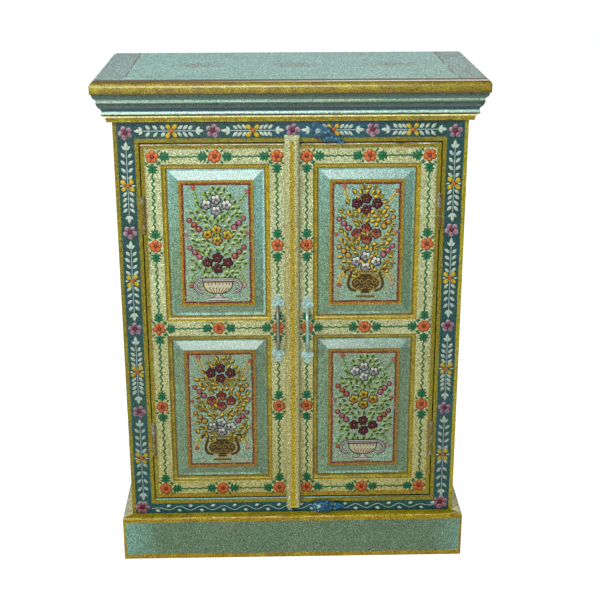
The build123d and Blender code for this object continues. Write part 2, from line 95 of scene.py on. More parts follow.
# painted bands
frame_outer_band = 4.5
frame_inner_band = 4.6
door_edge_band = 4.2
door_foot_band = 6.0
field_gold_band = 3.6
field_red_band = 2.3
strip_band = 5.0
plinth_top_band = 6.6
plinth_foot_band = 6.8
plinth_corner_band = 2.6
top_nose_band = 15.5

# how deep the front's paint goes, behind the front of the frame, before bare wood shows
frame_paint_depth = 19.0
door_paint_depth = 16.0
panel_paint_depth = 9.0


# ---------------------------------------------------------------- small tools
def linear(code):
    """An sRGB hex colour as linear RGBA."""
    channels = [int(code[i : i + 2], 16) / 255 for i in (1, 3, 5)]
    return [c / 12.92 if c <= 0.04045 else ((c + 0.055) / 1.055) ** 2.4 for c in channels] + [1.0]


def add(tree, kind, inputs=None, **settings):
    """Adds a node. Its inputs are links or values by socket name or number, its settings are properties."""
    node = tree.nodes.new(kind)
    for name, value in settings.items():
        setattr(node, name, value)
    for key, value in (inputs or {}).items():
        if isinstance(key, str):
            socket = next(s for s in node.inputs if s.name == key and s.enabled)
        else:
            socket = node.inputs[key]
        if isinstance(value, bpy.types.Node):
            value = next(s for s in value.outputs if s.enabled)
        if isinstance(value, bpy.types.NodeSocket):
            tree.links.new(value, socket)
        else:
            socket.default_value = value
    return node


# ---------------------------------------------------------------- colours
# gold: ochre with a little brown
GOLD = "#5A4B04"
GOLD_LIGHT = "#6A6307"
# painted light on the upper panels' beads
BEAD_LIT = "#7C6A08"
GOLD_DARK = "#3E2E08"
GOLD_BAND = "#525204"
GOLD_ORANGE = "#6D4406"
STRIP_GOLD = "#6E5F08"
# painted highlight along the top of the ovolo
OVOLO_HIGHLIGHT = "#DAD28C"
# teal: the panels, the mouldings, the plinth and the lid
TEAL = "#556F5C"
TEAL_WARM = "#5A6551"
TEAL_GREEN = "#384E3C"
TEAL_BLUE = "#4A675A"
TEAL_LIGHT = "#85B5B0"
BEVEL_TEAL = "#40533A"
BEVEL_LIGHT = "#526954"
BEVEL_BLUE = "#587A74"
CORNICE_TEAL = "#48674F"
# painted highlights and painted shade on the cornice's mouldings
LOWER_BEAD_HIGHLIGHT = "#76968E"
CREST_HIGHLIGHT = "#78998F"
CORNICE_SHADE = "#2C3D34"
THROAT_SHADE = "#0F2A36"
PLINTH_WARM = "#46513E"
# the lid's teal, painted lighter than the panels' as painted light from above
TOP_LIT_TEAL = "#668A80"
TOP_PALE = "#A6C6BF"
TOP_DARK = "#315049"
TOP_MAROON = "#5A4A50"
# blue: the face frame
BLUE = "#0C2F35"
BRIGHT_BLUE = "#0A3646"
BLUE_GREEN = "#102F26"
# painted light on the sill's ledge, seen through the gap under the doors
SILL_LIT_GREEN = "#5E6E58"
SILL_LIT_BLUE = "#84B4B8"
# cream: the doors and the strip
CREAM = "#797E54"
CREAM_PALE = "#889374"
CREAM_BROWN = "#5E573B"
# painted shade on the doors' lower parts
CREAM_SHADED = "#6A663A"
STRIP_CREAM = "#6C6639"
# rubbed pale and painted as a highlight along the plinth's arris
ARRIS_HIGHLIGHT_CREAM = "#B4A468"
LEDGE_BEIGE = "#8E8A6C"
# bare primer with a painted highlight along the doors' top edges
PRIMER_HIGHLIGHT = "#A39C8C"
RED_LINE = "#421603"
# dirt, painted shade and bare wood
GRIME_AND_SHADE = "#10171A"
LOWER_SHADE = "#33301A"
WOOD = "#8A5A34"
WOOD_DARK = "#4F3018"
# metal and the paint on it
MINT = "#84A296"
MINT_BAR = "#56705C"
MINT_GREY = "#5F8080"
IRON = "#34342A"
# painted highlight down the left handle's bar
IRON_HIGHLIGHT = "#5A5E52"
LATCH_BLUE = "#042532"
LATCH_TEAL = "#0A4460"
STEEL = "#62665F"
HINGE_STEEL = "#5C625C"


# ---------------------------------------------------------------- painted wood
def hand_drawn(tree):
    """The place on the piece in millimetres, and the same place as an unsteady hand would rule it."""
    sway_length, sway_reach = 24.0, 2.2
    place = add(tree, "ShaderNodeTexCoord").outputs["Object"]
    drawn = add(tree, "ShaderNodeVectorMath", {0: place, "Scale": 1 / MM}, operation="SCALE")
    waver = add(tree, "ShaderNodeTexNoise", {"Vector": drawn, "Scale": 1 / sway_length, "Detail": 4.0})
    waver = waver.outputs["Color"]
    sway = add(tree, "ShaderNodeVectorMath", {0: waver, 1: (0.5, 0.5, 0.5)}, operation="SUBTRACT")
    reach = (sway_reach, sway_reach, sway_reach)
    hand = add(tree, "ShaderNodeVectorMath", {0: sway, 1: reach, 2: drawn}, operation="MULTIPLY_ADD")
    return drawn, hand


def away_from(tree, value, middle):
    """How far a length is from a middle, on either hand of it."""
    offset = add(tree, "ShaderNodeMath", {0: value, 1: middle}, operation="SUBTRACT")
    return add(tree, "ShaderNodeMath", {0: offset}, operation="ABSOLUTE")


def outside_rectangle(tree, hand, x_span, z_span):
    """How far a place on the front lies outside a rectangle, with the left half folded onto the right."""
    parts = add(tree, "ShaderNodeSeparateXYZ", {0: hand})
    x = add(tree, "ShaderNodeMath", {0: parts.outputs["X"]}, operation="ABSOLUTE")
    reaches = []
    for along, (low, high) in ((x, x_span), (parts.outputs["Z"], z_span)):
        far = away_from(tree, along, (low + high) / 2)
        reaches.append(add(tree, "ShaderNodeMath", {0: far, 1: (high - low) / 2}, operation="SUBTRACT"))
    return add(tree, "ShaderNodeMath", {0: reaches[0], 1: reaches[1]}, operation="MAXIMUM")


def beyond(tree, value, edge, blur=0.25):
    """One where a length is beyond an edge, nought before it, with the soft edge of a brush."""
    return add(tree, "ShaderNodeMapRange", {"Value": value, "From Min": edge - blur, "From Max": edge + blur})


def short_of(tree, value, edge, blur=0.25):
    """One where a length falls short of an edge, nought past it."""
    return beyond(tree, value, edge, -blur)


def over(tree, below, paint, mask):
    """A paint over what is below it, where the mask is one. Both are hex colours or links."""
    below, paint = (linear(c) if isinstance(c, str) else c for c in (below, paint))
    mixed = add(tree, "ShaderNodeMix", {"Factor": mask, "A": below, "B": paint}, data_type="RGBA")
    return mixed.outputs[2]


def mottled(tree, drawn, first, second, size, blur=0.12, share=0.5):
    """Two paints that run into each other in soft patches of a size in millimetres, the first on a share."""
    cloud = {"Vector": drawn, "Scale": 1 / size, "Detail": 5.0, "Roughness": 0.65}
    cloud = add(tree, "ShaderNodeTexNoise", cloud).outputs["Fac"]
    return over(tree, first, second, beyond(tree, cloud, 0.3 + 0.4 * share, blur))


def gold_paint(tree, drawn):
    """Ochre gold, brushed thin over brown in places."""
    return mottled(tree, drawn, GOLD, GOLD_LIGHT, 14)


def gold_band(tree, drawn):
    """The narrow gold bands round the doors, one thin dull coat."""
    return mottled(tree, drawn, GOLD_BAND, GOLD, 9)


def teal_paint(tree, drawn):
    """Teal that has gone grey-green in patches under the varnish."""
    return mottled(tree, drawn, TEAL, TEAL_WARM, 30)


def cream_paint(tree, drawn):
    """Cream, paler in patches and stained brown in others."""
    pale = mottled(tree, drawn, CREAM, CREAM_PALE, 30, 0.2)
    return mottled(tree, drawn, CREAM_BROWN, pale, 3, 0.2, 0.26)


def flecks(tree, drawn, colour, gain, size, share):
    """Round flecks of a lighter or darker shade, in a share of the cells of a size in millimetres: the
    lighter are painted glints on the varnish, the darker dust. Real glints and dust are finer; they are drawn
    as coarse as they need to show."""
    cells = add(tree, "ShaderNodeTexVoronoi", {"Vector": drawn, "Scale": 1 / size, "Randomness": 1.0})
    lots = add(tree, "ShaderNodeSeparateColor", {0: cells.outputs["Color"]})
    chosen = beyond(tree, lots.outputs[0], 1 - share, 0.01)
    near = {"Value": cells.outputs["Distance"], "From Min": 0.5, "From Max": 0.25}
    near = add(tree, "ShaderNodeMapRange", near)
    fleck = add(tree, "ShaderNodeVectorMath", {0: colour, "Scale": gain}, operation="SCALE").outputs[0]
    return over(tree, colour, fleck, add(tree, "ShaderNodeMath", {0: chosen, 1: near}, operation="MULTIPLY"))


def thin_varnish(tree, drawn, shader, gloss):
    """The varnish's shine, which wear has dulled towards the foot of the cabinet."""
    height = add(tree, "ShaderNodeSeparateXYZ", {0: drawn}).outputs["Z"]
    worn = {"Value": height, "From Min": 60.0, "From Max": 330.0, "To Min": 0.3, "To Max": 1.0}
    left = add(tree, "ShaderNodeMapRange", worn)
    shader.inputs["Coat Roughness"].default_value = 0.2
    for name, share in (("Specular IOR Level", gloss), ("Coat Weight", gloss / 2)):
        shine = add(tree, "ShaderNodeMath", {0: left, 1: share}, operation="MULTIPLY")
        tree.links.new(shine.outputs[0], shader.inputs[name])


def new_material(name):
    """A material with its node tree and its shader."""
    material = bpy.data.materials.new(name)
    material.use_nodes = True
    return material, material.node_tree, material.node_tree.nodes["Principled BSDF"]


def varnished_paint(name, pattern, speckle=1.3, roughness=0.32, gloss=0.4):
    """Brush-painted wood or iron under an old varnish. The pattern gives the colours, and this adds what age
    and the brush do to them, with painted glints: slow yellowed patches, broken speckle whose bright spots
    are partly painted glints, light flecks painted as glints on the varnish, dark flecks of dust and dirt in
    it, a net of hairline cracks and a soft gloss."""
    patch_size, grit_size, crack_spacing = 42.0, 1.05, 3.4
    material, tree, shader = new_material(name)
    drawn, hand = hand_drawn(tree)
    thin_varnish(tree, drawn, shader, gloss)
    colour = pattern(tree, drawn, hand)
    # lighter flecks are painted glints on the varnish; darker flecks are dust
    colour = flecks(tree, drawn, colour, 1.8, 1.25, 0.3)
    colour = flecks(tree, drawn, colour, 0.6, 1.2, 0.25)

    patches = {"Vector": drawn, "Scale": 1 / patch_size, "Detail": 5.0, "Roughness": 0.6}
    patches = add(tree, "ShaderNodeTexNoise", patches).outputs["Fac"]
    patch_tone = {"Value": patches, "From Min": 0.3, "From Max": 0.7, "To Min": 0.93, "To Max": 1.06}
    patch_tone = add(tree, "ShaderNodeMapRange", patch_tone)
    # the grit is turned off the axes, so that its cells don't line up with the edges of the boards
    turned = {"Vector": drawn, "Rotation": (0.5, 0.7, 0.9)}
    turned = add(tree, "ShaderNodeVectorRotate", turned, rotation_type="EULER_XYZ")
    grit = {"Vector": turned, "Scale": 1 / grit_size, "Detail": 1.0, "Roughness": 0.5}
    grit = add(tree, "ShaderNodeTexNoise", grit).outputs["Fac"]
    # the grit's bright spots reach further than its dark ones: partly painted glints in the varnish
    grit_tone = {"Value": grit, "From Min": 0.3, "From Max": 0.7}
    grit_tone.update({"To Min": 1 - 0.6 * speckle, "To Max": 1 + speckle})
    grit_tone = add(tree, "ShaderNodeMapRange", grit_tone)
    cracks = {"Vector": drawn, "Scale": 1 / crack_spacing, "Randomness": 1.0}
    cracks = add(tree, "ShaderNodeTexVoronoi", cracks, feature="DISTANCE_TO_EDGE")
    crack_tone = {"Value": cracks, "From Min": 0.0, "From Max": 0.09, "To Min": 0.82, "To Max": 1.0}
    crack_tone = add(tree, "ShaderNodeMapRange", crack_tone)
    tone = add(tree, "ShaderNodeMath", {0: patch_tone, 1: grit_tone}, operation="MULTIPLY")
    tone = add(tree, "ShaderNodeMath", {0: tone, 1: crack_tone}, operation="MULTIPLY")
    aged = add(tree, "ShaderNodeVectorMath", {0: colour, "Scale": tone}, operation="SCALE")
    tree.links.new(aged.outputs[0], shader.inputs["Base Color"])

    dull = {"Value": grit, "From Min": 0.3, "From Max": 0.7}
    dull.update({"To Min": roughness - 0.06, "To Max": roughness + 0.06})
    dull = add(tree, "ShaderNodeMapRange", dull)
    tree.links.new(dull.outputs[0], shader.inputs["Roughness"])
    height = add(tree, "ShaderNodeMath", {0: grit, 1: 0.5, 2: crack_tone}, operation="MULTIPLY_ADD")
    bump = add(tree, "ShaderNodeBump", {"Strength": 0.4, "Distance": 0.16 * MM, "Height": height})
    tree.links.new(bump.outputs[0], shader.inputs["Normal"])
    tree.links.new(bump.outputs[0], shader.inputs["Coat Normal"])
    return material


def wood_grain(tree, drawn):
    """Upright grain of oiled wood, with rings about 6 mm apart drawn out along the board."""
    ring_spacing, ring_length = 6.0, 90.0
    squeeze = (1 / ring_spacing, 1 / ring_spacing, 1 / ring_length)
    stretched = add(tree, "ShaderNodeVectorMath", {0: drawn, 1: squeeze}, operation="MULTIPLY")
    rings = {"Vector": stretched, "Scale": 1.0, "Detail": 6.0, "Distortion": 0.6}
    rings = add(tree, "ShaderNodeTexNoise", rings).outputs["Fac"]
    return over(tree, WOOD, WOOD_DARK, beyond(tree, rings, 0.5, 0.15))


def bare_wood_behind(tree, drawn, colour, depth):
    """Bare oiled wood on what lies further back than a depth behind the cabinet's front."""
    parts = add(tree, "ShaderNodeSeparateXYZ", {0: drawn})
    return over(tree, colour, wood_grain(tree, drawn), beyond(tree, parts.outputs["Y"], front_y + depth))


def frame_pattern(tree, drawn, hand):
    """Blue, touched up brighter round the upper latch, with a gold band along the cabinet's corners and
    another round the doors' opening, and a painted shadow along its head under the cornice. The ledge of
    the sill behind its gold is painted pale as painted light, and darker under the doors as painted shade."""
    touched_up_x, touched_up_half, touched_up_foot = 40.0, 55.0, sill_height + 462.0
    sill_back = front_y + 4.4
    parts = add(tree, "ShaderNodeSeparateXYZ", {0: hand}).outputs
    x = add(tree, "ShaderNodeMath", {0: parts["X"]}, operation="ABSOLUTE")
    opening = outside_rectangle(tree, hand, (-opening_half, opening_half), (sill_height, head_height))
    gold = gold_band(tree, drawn)
    blue = mottled(tree, drawn, BLUE, BLUE_GREEN, 32)
    high = beyond(tree, parts["Z"], touched_up_foot, 10.0)
    aside = beyond(tree, away_from(tree, parts["X"], touched_up_x), touched_up_half, 30.0)
    touched_up = add(tree, "ShaderNodeMath", {0: high, 1: aside}, operation="SUBTRACT", use_clamp=True)
    blue = over(tree, blue, mottled(tree, drawn, blue, BRIGHT_BLUE, 6, 0.1, 0.3), touched_up)
    colour = over(tree, blue, gold, short_of(tree, opening, frame_inner_band))
    corner = over(tree, gold, GOLD_LIGHT, beyond(tree, parts["X"], 0.0, 150.0))
    colour = over(tree, colour, corner, beyond(tree, x, body_half - frame_outer_band))
    # painted shadow: a dark line along the frame's head, under the cornice
    colour = over(tree, colour, GRIME_AND_SHADE, beyond(tree, parts["Z"], cornice_foot - 1.2, 0.5))
    # the sill's ledge, seen under the doors: painted light along its front and painted shade further back
    deep = beyond(tree, parts["Y"], front_y + 1.2)
    low = short_of(tree, parts["Z"], sill_height + 3.0)
    sill = add(tree, "ShaderNodeMath", {0: deep, 1: low}, operation="MULTIPLY")
    sill_light_and_shade = over(tree, SILL_LIT_BLUE, SILL_LIT_GREEN, beyond(tree, parts["X"], 60.0, 60.0))
    sill_light_and_shade = over(tree, sill_light_and_shade, GRIME_AND_SHADE, beyond(tree, parts["Y"], sill_back, 0.5))
    colour = over(tree, colour, sill_light_and_shade, sill)
    return bare_wood_behind(tree, drawn, colour, frame_paint_depth)


def door_pattern(tree, drawn, hand):
    """Cream, painted darker lower down as painted shade, inside a gold edge that is broader along the door's
    foot. A pale line along its head is bare primer with a painted highlight, where the door's top edge
    catches the light."""
    shade_foot, shade_head = 110.0, 390.0
    parts = add(tree, "ShaderNodeSeparateXYZ", {0: hand}).outputs
    edge = outside_rectangle(tree, hand, (door_inner, door_outer), (door_foot, door_head))
    gold = gold_band(tree, drawn)
    rubbed = mottled(tree, drawn, CREAM_BROWN, gold, 5, 0.2)
    height = add(tree, "ShaderNodeSeparateXYZ", {0: drawn}).outputs["Z"]
    # painted shade: the cream darkens towards the door's foot
    darker_below = {"Value": height, "From Min": shade_foot, "From Max": shade_head, "To Min": 0.85, "To Max": 0.0}
    cream = over(tree, cream_paint(tree, drawn), CREAM_SHADED, add(tree, "ShaderNodeMapRange", darker_below))
    colour = over(tree, cream, rubbed, beyond(tree, edge, -door_edge_band - 1.0, 1.2))
    colour = over(tree, colour, gold, beyond(tree, edge, -door_edge_band))
    foot = short_of(tree, parts["Z"], door_foot + door_foot_band)
    colour = over(tree, colour, over(tree, gold, GOLD_ORANGE, 0.25), foot)
    # bare primer with a painted highlight along the door's top edge, where it catches the light
    colour = over(tree, colour, PRIMER_HIGHLIGHT, beyond(tree, parts["Z"], door_head - 0.4, 0.2))
    return bare_wood_behind(tree, drawn, colour, door_paint_depth)


def strip_pattern(tree, drawn, hand):
    """Cream, darker and yellower below, with one gold stripe down the middle that stops short of the top."""
    foot, head = 380.0, 545.0
    parts = add(tree, "ShaderNodeSeparateXYZ", {0: hand}).outputs
    far = away_from(tree, parts["X"], (strip_left + strip_right) / 2)
    darker_below = {"Value": parts["Z"], "From Min": foot, "From Max": head, "To Min": 0.8, "To Max": 0.15}
    cream = over(tree, cream_paint(tree, drawn), STRIP_CREAM, add(tree, "ShaderNodeMapRange", darker_below))
    colour = over(tree, STRIP_GOLD, cream, beyond(tree, far, strip_band / 2, 0.5))
    return over(tree, colour, cream, beyond(tree, parts["Z"], strip_head - 5.5, 1.0))


def bead_pattern(level):
    """Gold bead: painted light brightens it on the upper panels and painted shade darkens it on the lower,
    with a dark line in the quirk between its roll and its fillet.
    """

    def pattern(tree, drawn, hand):
        reach = outside_rectangle(tree, drawn, *panel_opening[level])
        far = away_from(tree, reach, -bead_roll_width - quirk_width / 2)
        # painted light on the upper beads, painted shade on the lower ones
        painted_lighting, share = (BEAD_LIT, 0.4) if level == "upper" else (LOWER_SHADE, 0.12)
        gold = over(tree, gold_paint(tree, drawn), painted_lighting, share)
        return over(tree, GOLD_DARK, gold, beyond(tree, far, quirk_width, 0.4))

    return pattern


def panel_bevel(tree, drawn, across, high_x, upper):
    """The teal of a panel's bevels. The left door's upper panel is bluer down its right side."""
    place = add(tree, "ShaderNodeSeparateXYZ", {0: drawn}).outputs
    slope = mottled(tree, drawn, BEVEL_LIGHT, BEVEL_TEAL, 5, 0.25, 0.4)
    if not upper:
        return slope
    right = beyond(tree, across, high_x - field_inset - 2.0, 3.0)
    fading = {"Value": place["Z"], "From Min": 350.0, "From Max": 470.0, "To Min": 0.05, "To Max": 0.8}
    fading = add(tree, "ShaderNodeMapRange", fading)
    left_door = short_of(tree, place["X"], 0.0, 1.0)
    share = add(tree, "ShaderNodeMath", {0: right, 1: fading}, operation="MULTIPLY")
    share = add(tree, "ShaderNodeMath", {0: share, 1: left_door}, operation="MULTIPLY")
    return over(tree, slope, BEVEL_BLUE, share)


def lit_margin(tree, drawn, reach, across, low_x, high_x, upper):
    """How brightly the flat margin round a panel's bevels shines: least along its left side, and less up its
    right side than along its foot."""
    x = add(tree, "ShaderNodeSeparateXYZ", {0: drawn}).outputs["X"]
    margin = beyond(tree, reach, -bead_width - margin_width - 0.6, 1.2)
    lit = {"Value": across, "From Min": low_x + 7.0, "From Max": low_x + 30.0, "To Min": 0.1, "To Max": 0.6}
    lit = add(tree, "ShaderNodeMapRange", lit)
    lit = add(tree, "ShaderNodeMath", {0: margin, 1: lit}, operation="MULTIPLY")
    share = {"Value": x, "From Min": -1.0, "From Max": 1.0, "To Min": 1.15, "To Max": 0.5}
    share = add(tree, "ShaderNodeMapRange", share) if upper else 0.75
    lit = add(tree, "ShaderNodeMath", {0: lit, 1: share}, operation="MULTIPLY")
    upright = beyond(tree, across, high_x - field_inset + 3.0, 2.0)
    dulled = {0: upright, 1: 0.25 if upper else 0.55}
    dulled = add(tree, "ShaderNodeMath", dulled, operation="MULTIPLY")
    return add(tree, "ShaderNodeMath", {0: lit, 1: dulled}, operation="SUBTRACT", use_clamp=True)


def field_border(tree, drawn, reach, upper):
    """The gold border of a panel's field: lighter along its outer half and orange along its inner half, and
    darker on the lower panels as painted shade.
    """
    gold = mottled(tree, drawn, GOLD_ORANGE, GOLD, 12)
    gold = over(tree, gold, GOLD_ORANGE, 0.5)
    rim = over(tree, GOLD, GOLD_LIGHT, 0.6) if upper else GOLD
    gold = over(tree, gold, rim, beyond(tree, reach, -field_inset - field_gold_band / 2, 0.6))
    return gold if upper else over(tree, gold, LOWER_SHADE, 0.15)


def panel_pattern(level):
    """Teal panel whose field has a gold border with a broken red line inside it. The upper panels are painted
    bluer towards their head as painted light, and the lower ones darker as painted shade.
    """
    upper = level == "upper"
    (low_x, high_x), (_, high_z) = panel_opening[level]
    ring_inset = field_inset + field_gold_band

    def pattern(tree, drawn, hand):
        reach = outside_rectangle(tree, hand, *panel_opening[level])
        exact = outside_rectangle(tree, drawn, *panel_opening[level])
        place = add(tree, "ShaderNodeSeparateXYZ", {0: drawn}).outputs
        # both doors' panels are lit from the left, so X is carried over and not folded
        across = {0: place["X"], 1: 0.0, 2: low_x + high_x}
        across = add(tree, "ShaderNodeMath", across, operation="WRAP")
        slope = panel_bevel(tree, drawn, across, high_x, upper)
        ground = teal_paint(tree, drawn)
        if upper:
            # painted light: the upper panels turn bluer and paler towards their head
            high = {"Value": place["Z"], "From Min": 390.0, "From Max": 500.0, "To Max": 0.6}
            high = add(tree, "ShaderNodeMapRange", high)
            slope = over(tree, slope, BEVEL_BLUE, high)
            ground = over(tree, ground, BEVEL_BLUE, high)
        pale = mottled(tree, drawn, TEAL_LIGHT, BEVEL_LIGHT, 2.5, 0.2, 0.6)
        colour = over(tree, slope, pale, lit_margin(tree, drawn, reach, across, low_x, high_x, upper))
        field_top = high_z - field_inset
        # painted reflection: a bluer band along the top bevel, which faces up
        head = {"Value": place["Z"], "From Min": field_top, "From Max": field_top + 1.0, "To Max": 0.35}
        colour = over(tree, colour, BEVEL_BLUE, add(tree, "ShaderNodeMapRange", head))

        field = short_of(tree, exact, -field_inset, 0.1)
        colour = over(tree, colour, ground, field)
        worn = add(tree, "ShaderNodeTexNoise", {"Vector": drawn, "Scale": 1 / 3, "Detail": 2.0})
        kept = beyond(tree, worn.outputs["Fac"], 0.36, 0.06)
        red = beyond(tree, reach, -ring_inset - field_red_band)
        red = add(tree, "ShaderNodeMath", {0: field, 1: red}, operation="MULTIPLY")
        red = add(tree, "ShaderNodeMath", {0: red, 1: kept}, operation="MULTIPLY")
        colour = over(tree, colour, RED_LINE, red)
        ring = beyond(tree, reach, -ring_inset)
        ring = add(tree, "ShaderNodeMath", {0: field, 1: ring}, operation="MULTIPLY")
        colour = over(tree, colour, field_border(tree, drawn, reach, upper), ring)
        # painted shade: the lower panels are darker all over
        if not upper:
            colour = over(tree, colour, LOWER_SHADE, 0.13)
        return bare_wood_behind(tree, drawn, colour, panel_paint_depth)

    return pattern


def cornice_pattern(tree, drawn, hand):
    """Teal mouldings over a gold ovolo, with painted shade in the hollows, a dark blue painted shade over
    the lower bead, and painted highlights along the crests and the top of the ovolo."""
    height = add(tree, "ShaderNodeSeparateXYZ", {0: hand}).outputs["Z"]
    teal = mottled(tree, drawn, CORNICE_TEAL, TEAL_WARM, 30)
    colour = over(tree, gold_paint(tree, drawn), teal, beyond(tree, height, ovolo_top))
    ruled_height = add(tree, "ShaderNodeSeparateXYZ", {0: drawn}).outputs["Z"]
    # painted shade in the hollows and over the lower bead; painted highlights on the crests and the ovolo
    light_and_shade_stripes = (
        (throat_middle, 3.2, 1.2, CORNICE_SHADE),
        (crown_cove_middle, 4.2, 1.2, CORNICE_SHADE),
        (lower_bead_top, 2.2, 1.0, THROAT_SHADE),
        (lower_bead_foot, 1.0, 0.8, LOWER_BEAD_HIGHLIGHT),
        (crown_bead_crest, 0.5, 0.6, CREST_HIGHLIGHT),
        (ovolo_top - 0.5, 0.7, 0.4, GRIME_AND_SHADE),
        (ovolo_top - 2.7, 0.9, 0.5, OVOLO_HIGHLIGHT),
    )
    for middle, half, blur, paint in light_and_shade_stripes:
        far = away_from(tree, ruled_height, middle)
        colour = over(tree, paint, colour, beyond(tree, far, half, blur))
    return colour


def plinth_pattern(tree, drawn, hand):
    """Teal board with a gold upper edge, rubbed pale and given a painted highlight at its arris, a gold foot
    and thin gold corners.
    """
    parts = add(tree, "ShaderNodeSeparateXYZ", {0: hand}).outputs
    x = add(tree, "ShaderNodeMath", {0: parts["X"]}, operation="ABSOLUTE")
    gold = gold_paint(tree, drawn)
    middle = mottled(tree, drawn, TEAL_GREEN, PLINTH_WARM, 60, 0.4)
    colour = over(tree, TEAL_BLUE, middle, beyond(tree, parts["X"], -plinth_half + 26.0, 16.0))
    colour = over(tree, colour, TEAL_BLUE, beyond(tree, parts["X"], plinth_half - 14.0, 24.0))
    colour = over(tree, colour, gold, beyond(tree, x, plinth_half - plinth_corner_band))
    behind = beyond(tree, parts["Y"], plinth_front + 1.4, 0.6)
    share = add(tree, "ShaderNodeMath", {0: 0.25, 1: behind}, operation="SUBTRACT")
    warm = over(tree, gold, GOLD_ORANGE, share)
    colour = over(tree, colour, warm, beyond(tree, parts["Z"], plinth_top - plinth_top_band))
    # the arris: rubbed pale, with a painted highlight
    high = beyond(tree, parts["Z"], plinth_top - 1.3, 0.4)
    arris = add(tree, "ShaderNodeMath", {0: high, 1: behind}, operation="SUBTRACT")
    rubbed = mottled(tree, drawn, colour, ARRIS_HIGHLIGHT_CREAM, 5, 0.2, 0.4)
    colour = over(tree, colour, rubbed, arris)
    return over(tree, warm, colour, beyond(tree, parts["Z"], plinth_foot_band))


def plinth_side_pattern(tree, drawn, hand):
    """The returns of the plinth: teal, gold along the foot and at the corner with the front."""
    parts = add(tree, "ShaderNodeSeparateXYZ", {0: hand}).outputs
    gold = gold_paint(tree, drawn)
    colour = over(tree, gold, TEAL_GREEN, beyond(tree, parts["Y"], plinth_front + plinth_corner_band))
    colour = over(tree, colour, LEDGE_BEIGE, beyond(tree, parts["Z"], plinth_top - 0.8))
    return over(tree, gold, colour, beyond(tree, parts["Z"], plinth_foot_band))


def top_pattern(tree, drawn, hand):
    """Pale teal board, painted lighter than the panels as painted light from above, stippled light and dark
    and reddened at its ends, with a gold rounded edge whose lower half is painted darker as painted shade.
    """
    reddened_from = 189.0
    parts = add(tree, "ShaderNodeSeparateXYZ", {0: hand}).outputs
    x = add(tree, "ShaderNodeMath", {0: parts["X"]}, operation="ABSOLUTE")
    edge_x = add(tree, "ShaderNodeMath", {0: x, 1: top_half}, operation="SUBTRACT")
    edge_y = add(tree, "ShaderNodeMath", {0: top_front, 1: parts["Y"]}, operation="SUBTRACT")
    low = add(tree, "ShaderNodeMath", {0: top_height - 3.0, 1: parts["Z"]}, operation="SUBTRACT")
    low_x = add(tree, "ShaderNodeMath", {0: edge_x, 1: low}, operation="ADD")
    gold = over(tree, GOLD_DARK, gold_paint(tree, drawn), beyond(tree, low, -1.2, 1.2))
    # painted shade on the lower, downward-facing half of the gold nose
    gold = over(tree, gold, GOLD_DARK, beyond(tree, low, 8.5, 4.0))
    # the board's teal is a lighter copy of the panels' teal, as painted light from above
    board = mottled(tree, drawn, TOP_DARK, TOP_LIT_TEAL, 3.0, 0.08, 0.36)
    board = mottled(tree, drawn, board, TOP_PALE, 2.2, 0.07, 0.7)
    ends = mottled(tree, drawn, TOP_MAROON, board, 3.2, 0.08, 0.4)
    colour = over(tree, board, ends, beyond(tree, x, reddened_from, 1.5))
    colour = over(tree, colour, gold, beyond(tree, low_x, 0.0))
    colour = over(tree, colour, GOLD_DARK, beyond(tree, edge_y, -top_nose_band - 1.5))
    return over(tree, colour, gold, beyond(tree, edge_y, -top_nose_band + 2.0, 1.8))


def side_pattern(tree, drawn, hand):
    """Teal sides, as the panels are."""
    return teal_paint(tree, drawn)


def inside_pattern(tree, drawn, hand):
    """Bare oiled wood."""
    return wood_grain(tree, drawn)


# ---------------------------------------------------------------- fittings
def hinge_pattern(tree, drawn, hand):
    """Steel hinge, painted over in gold with the rest and rubbed bare in spots."""
    painted = mottled(tree, drawn, GOLD, GOLD_DARK, 3)
    return mottled(tree, drawn, painted, HINGE_STEEL, 7, 0.06, 0.62)


def latch_pattern(tree, drawn, hand):
    """Cast iron painted in streaks of blue and teal, near black in spots and rubbed pale in a few."""
    streaks = mottled(tree, drawn, LATCH_BLUE, LATCH_TEAL, 4)
    streaks = mottled(tree, drawn, GRIME_AND_SHADE, streaks, 3.2, 0.08, 0.35)
    return mottled(tree, drawn, streaks, MINT_GREY, 2.6, 0.05, 0.8)


def handle_pattern(bar_colour, highlight_colour, middle):
    """Cast handle: pale mint plates, and a bar of another colour with a painted highlight along a line."""

    def pattern(tree, drawn, hand):
        parts = add(tree, "ShaderNodeSeparateXYZ", {0: drawn}).outputs
        plates = mottled(tree, drawn, MINT, MINT_GREY, 3)
        far = away_from(tree, parts["X"], middle)
        # a painted highlight along a line down the bar
        bar = over(tree, highlight_colour, bar_colour, beyond(tree, far, 0.9, 0.6))
        return over(tree, bar, plates, beyond(tree, parts["Y"], front_y - 2.6, 0.6))

    return pattern


def steel_pattern(tree, drawn, hand):
    """Plain steel, dulled by paint rubbed into it."""
    return mottled(tree, drawn, STEEL, MINT_GREY, 2)


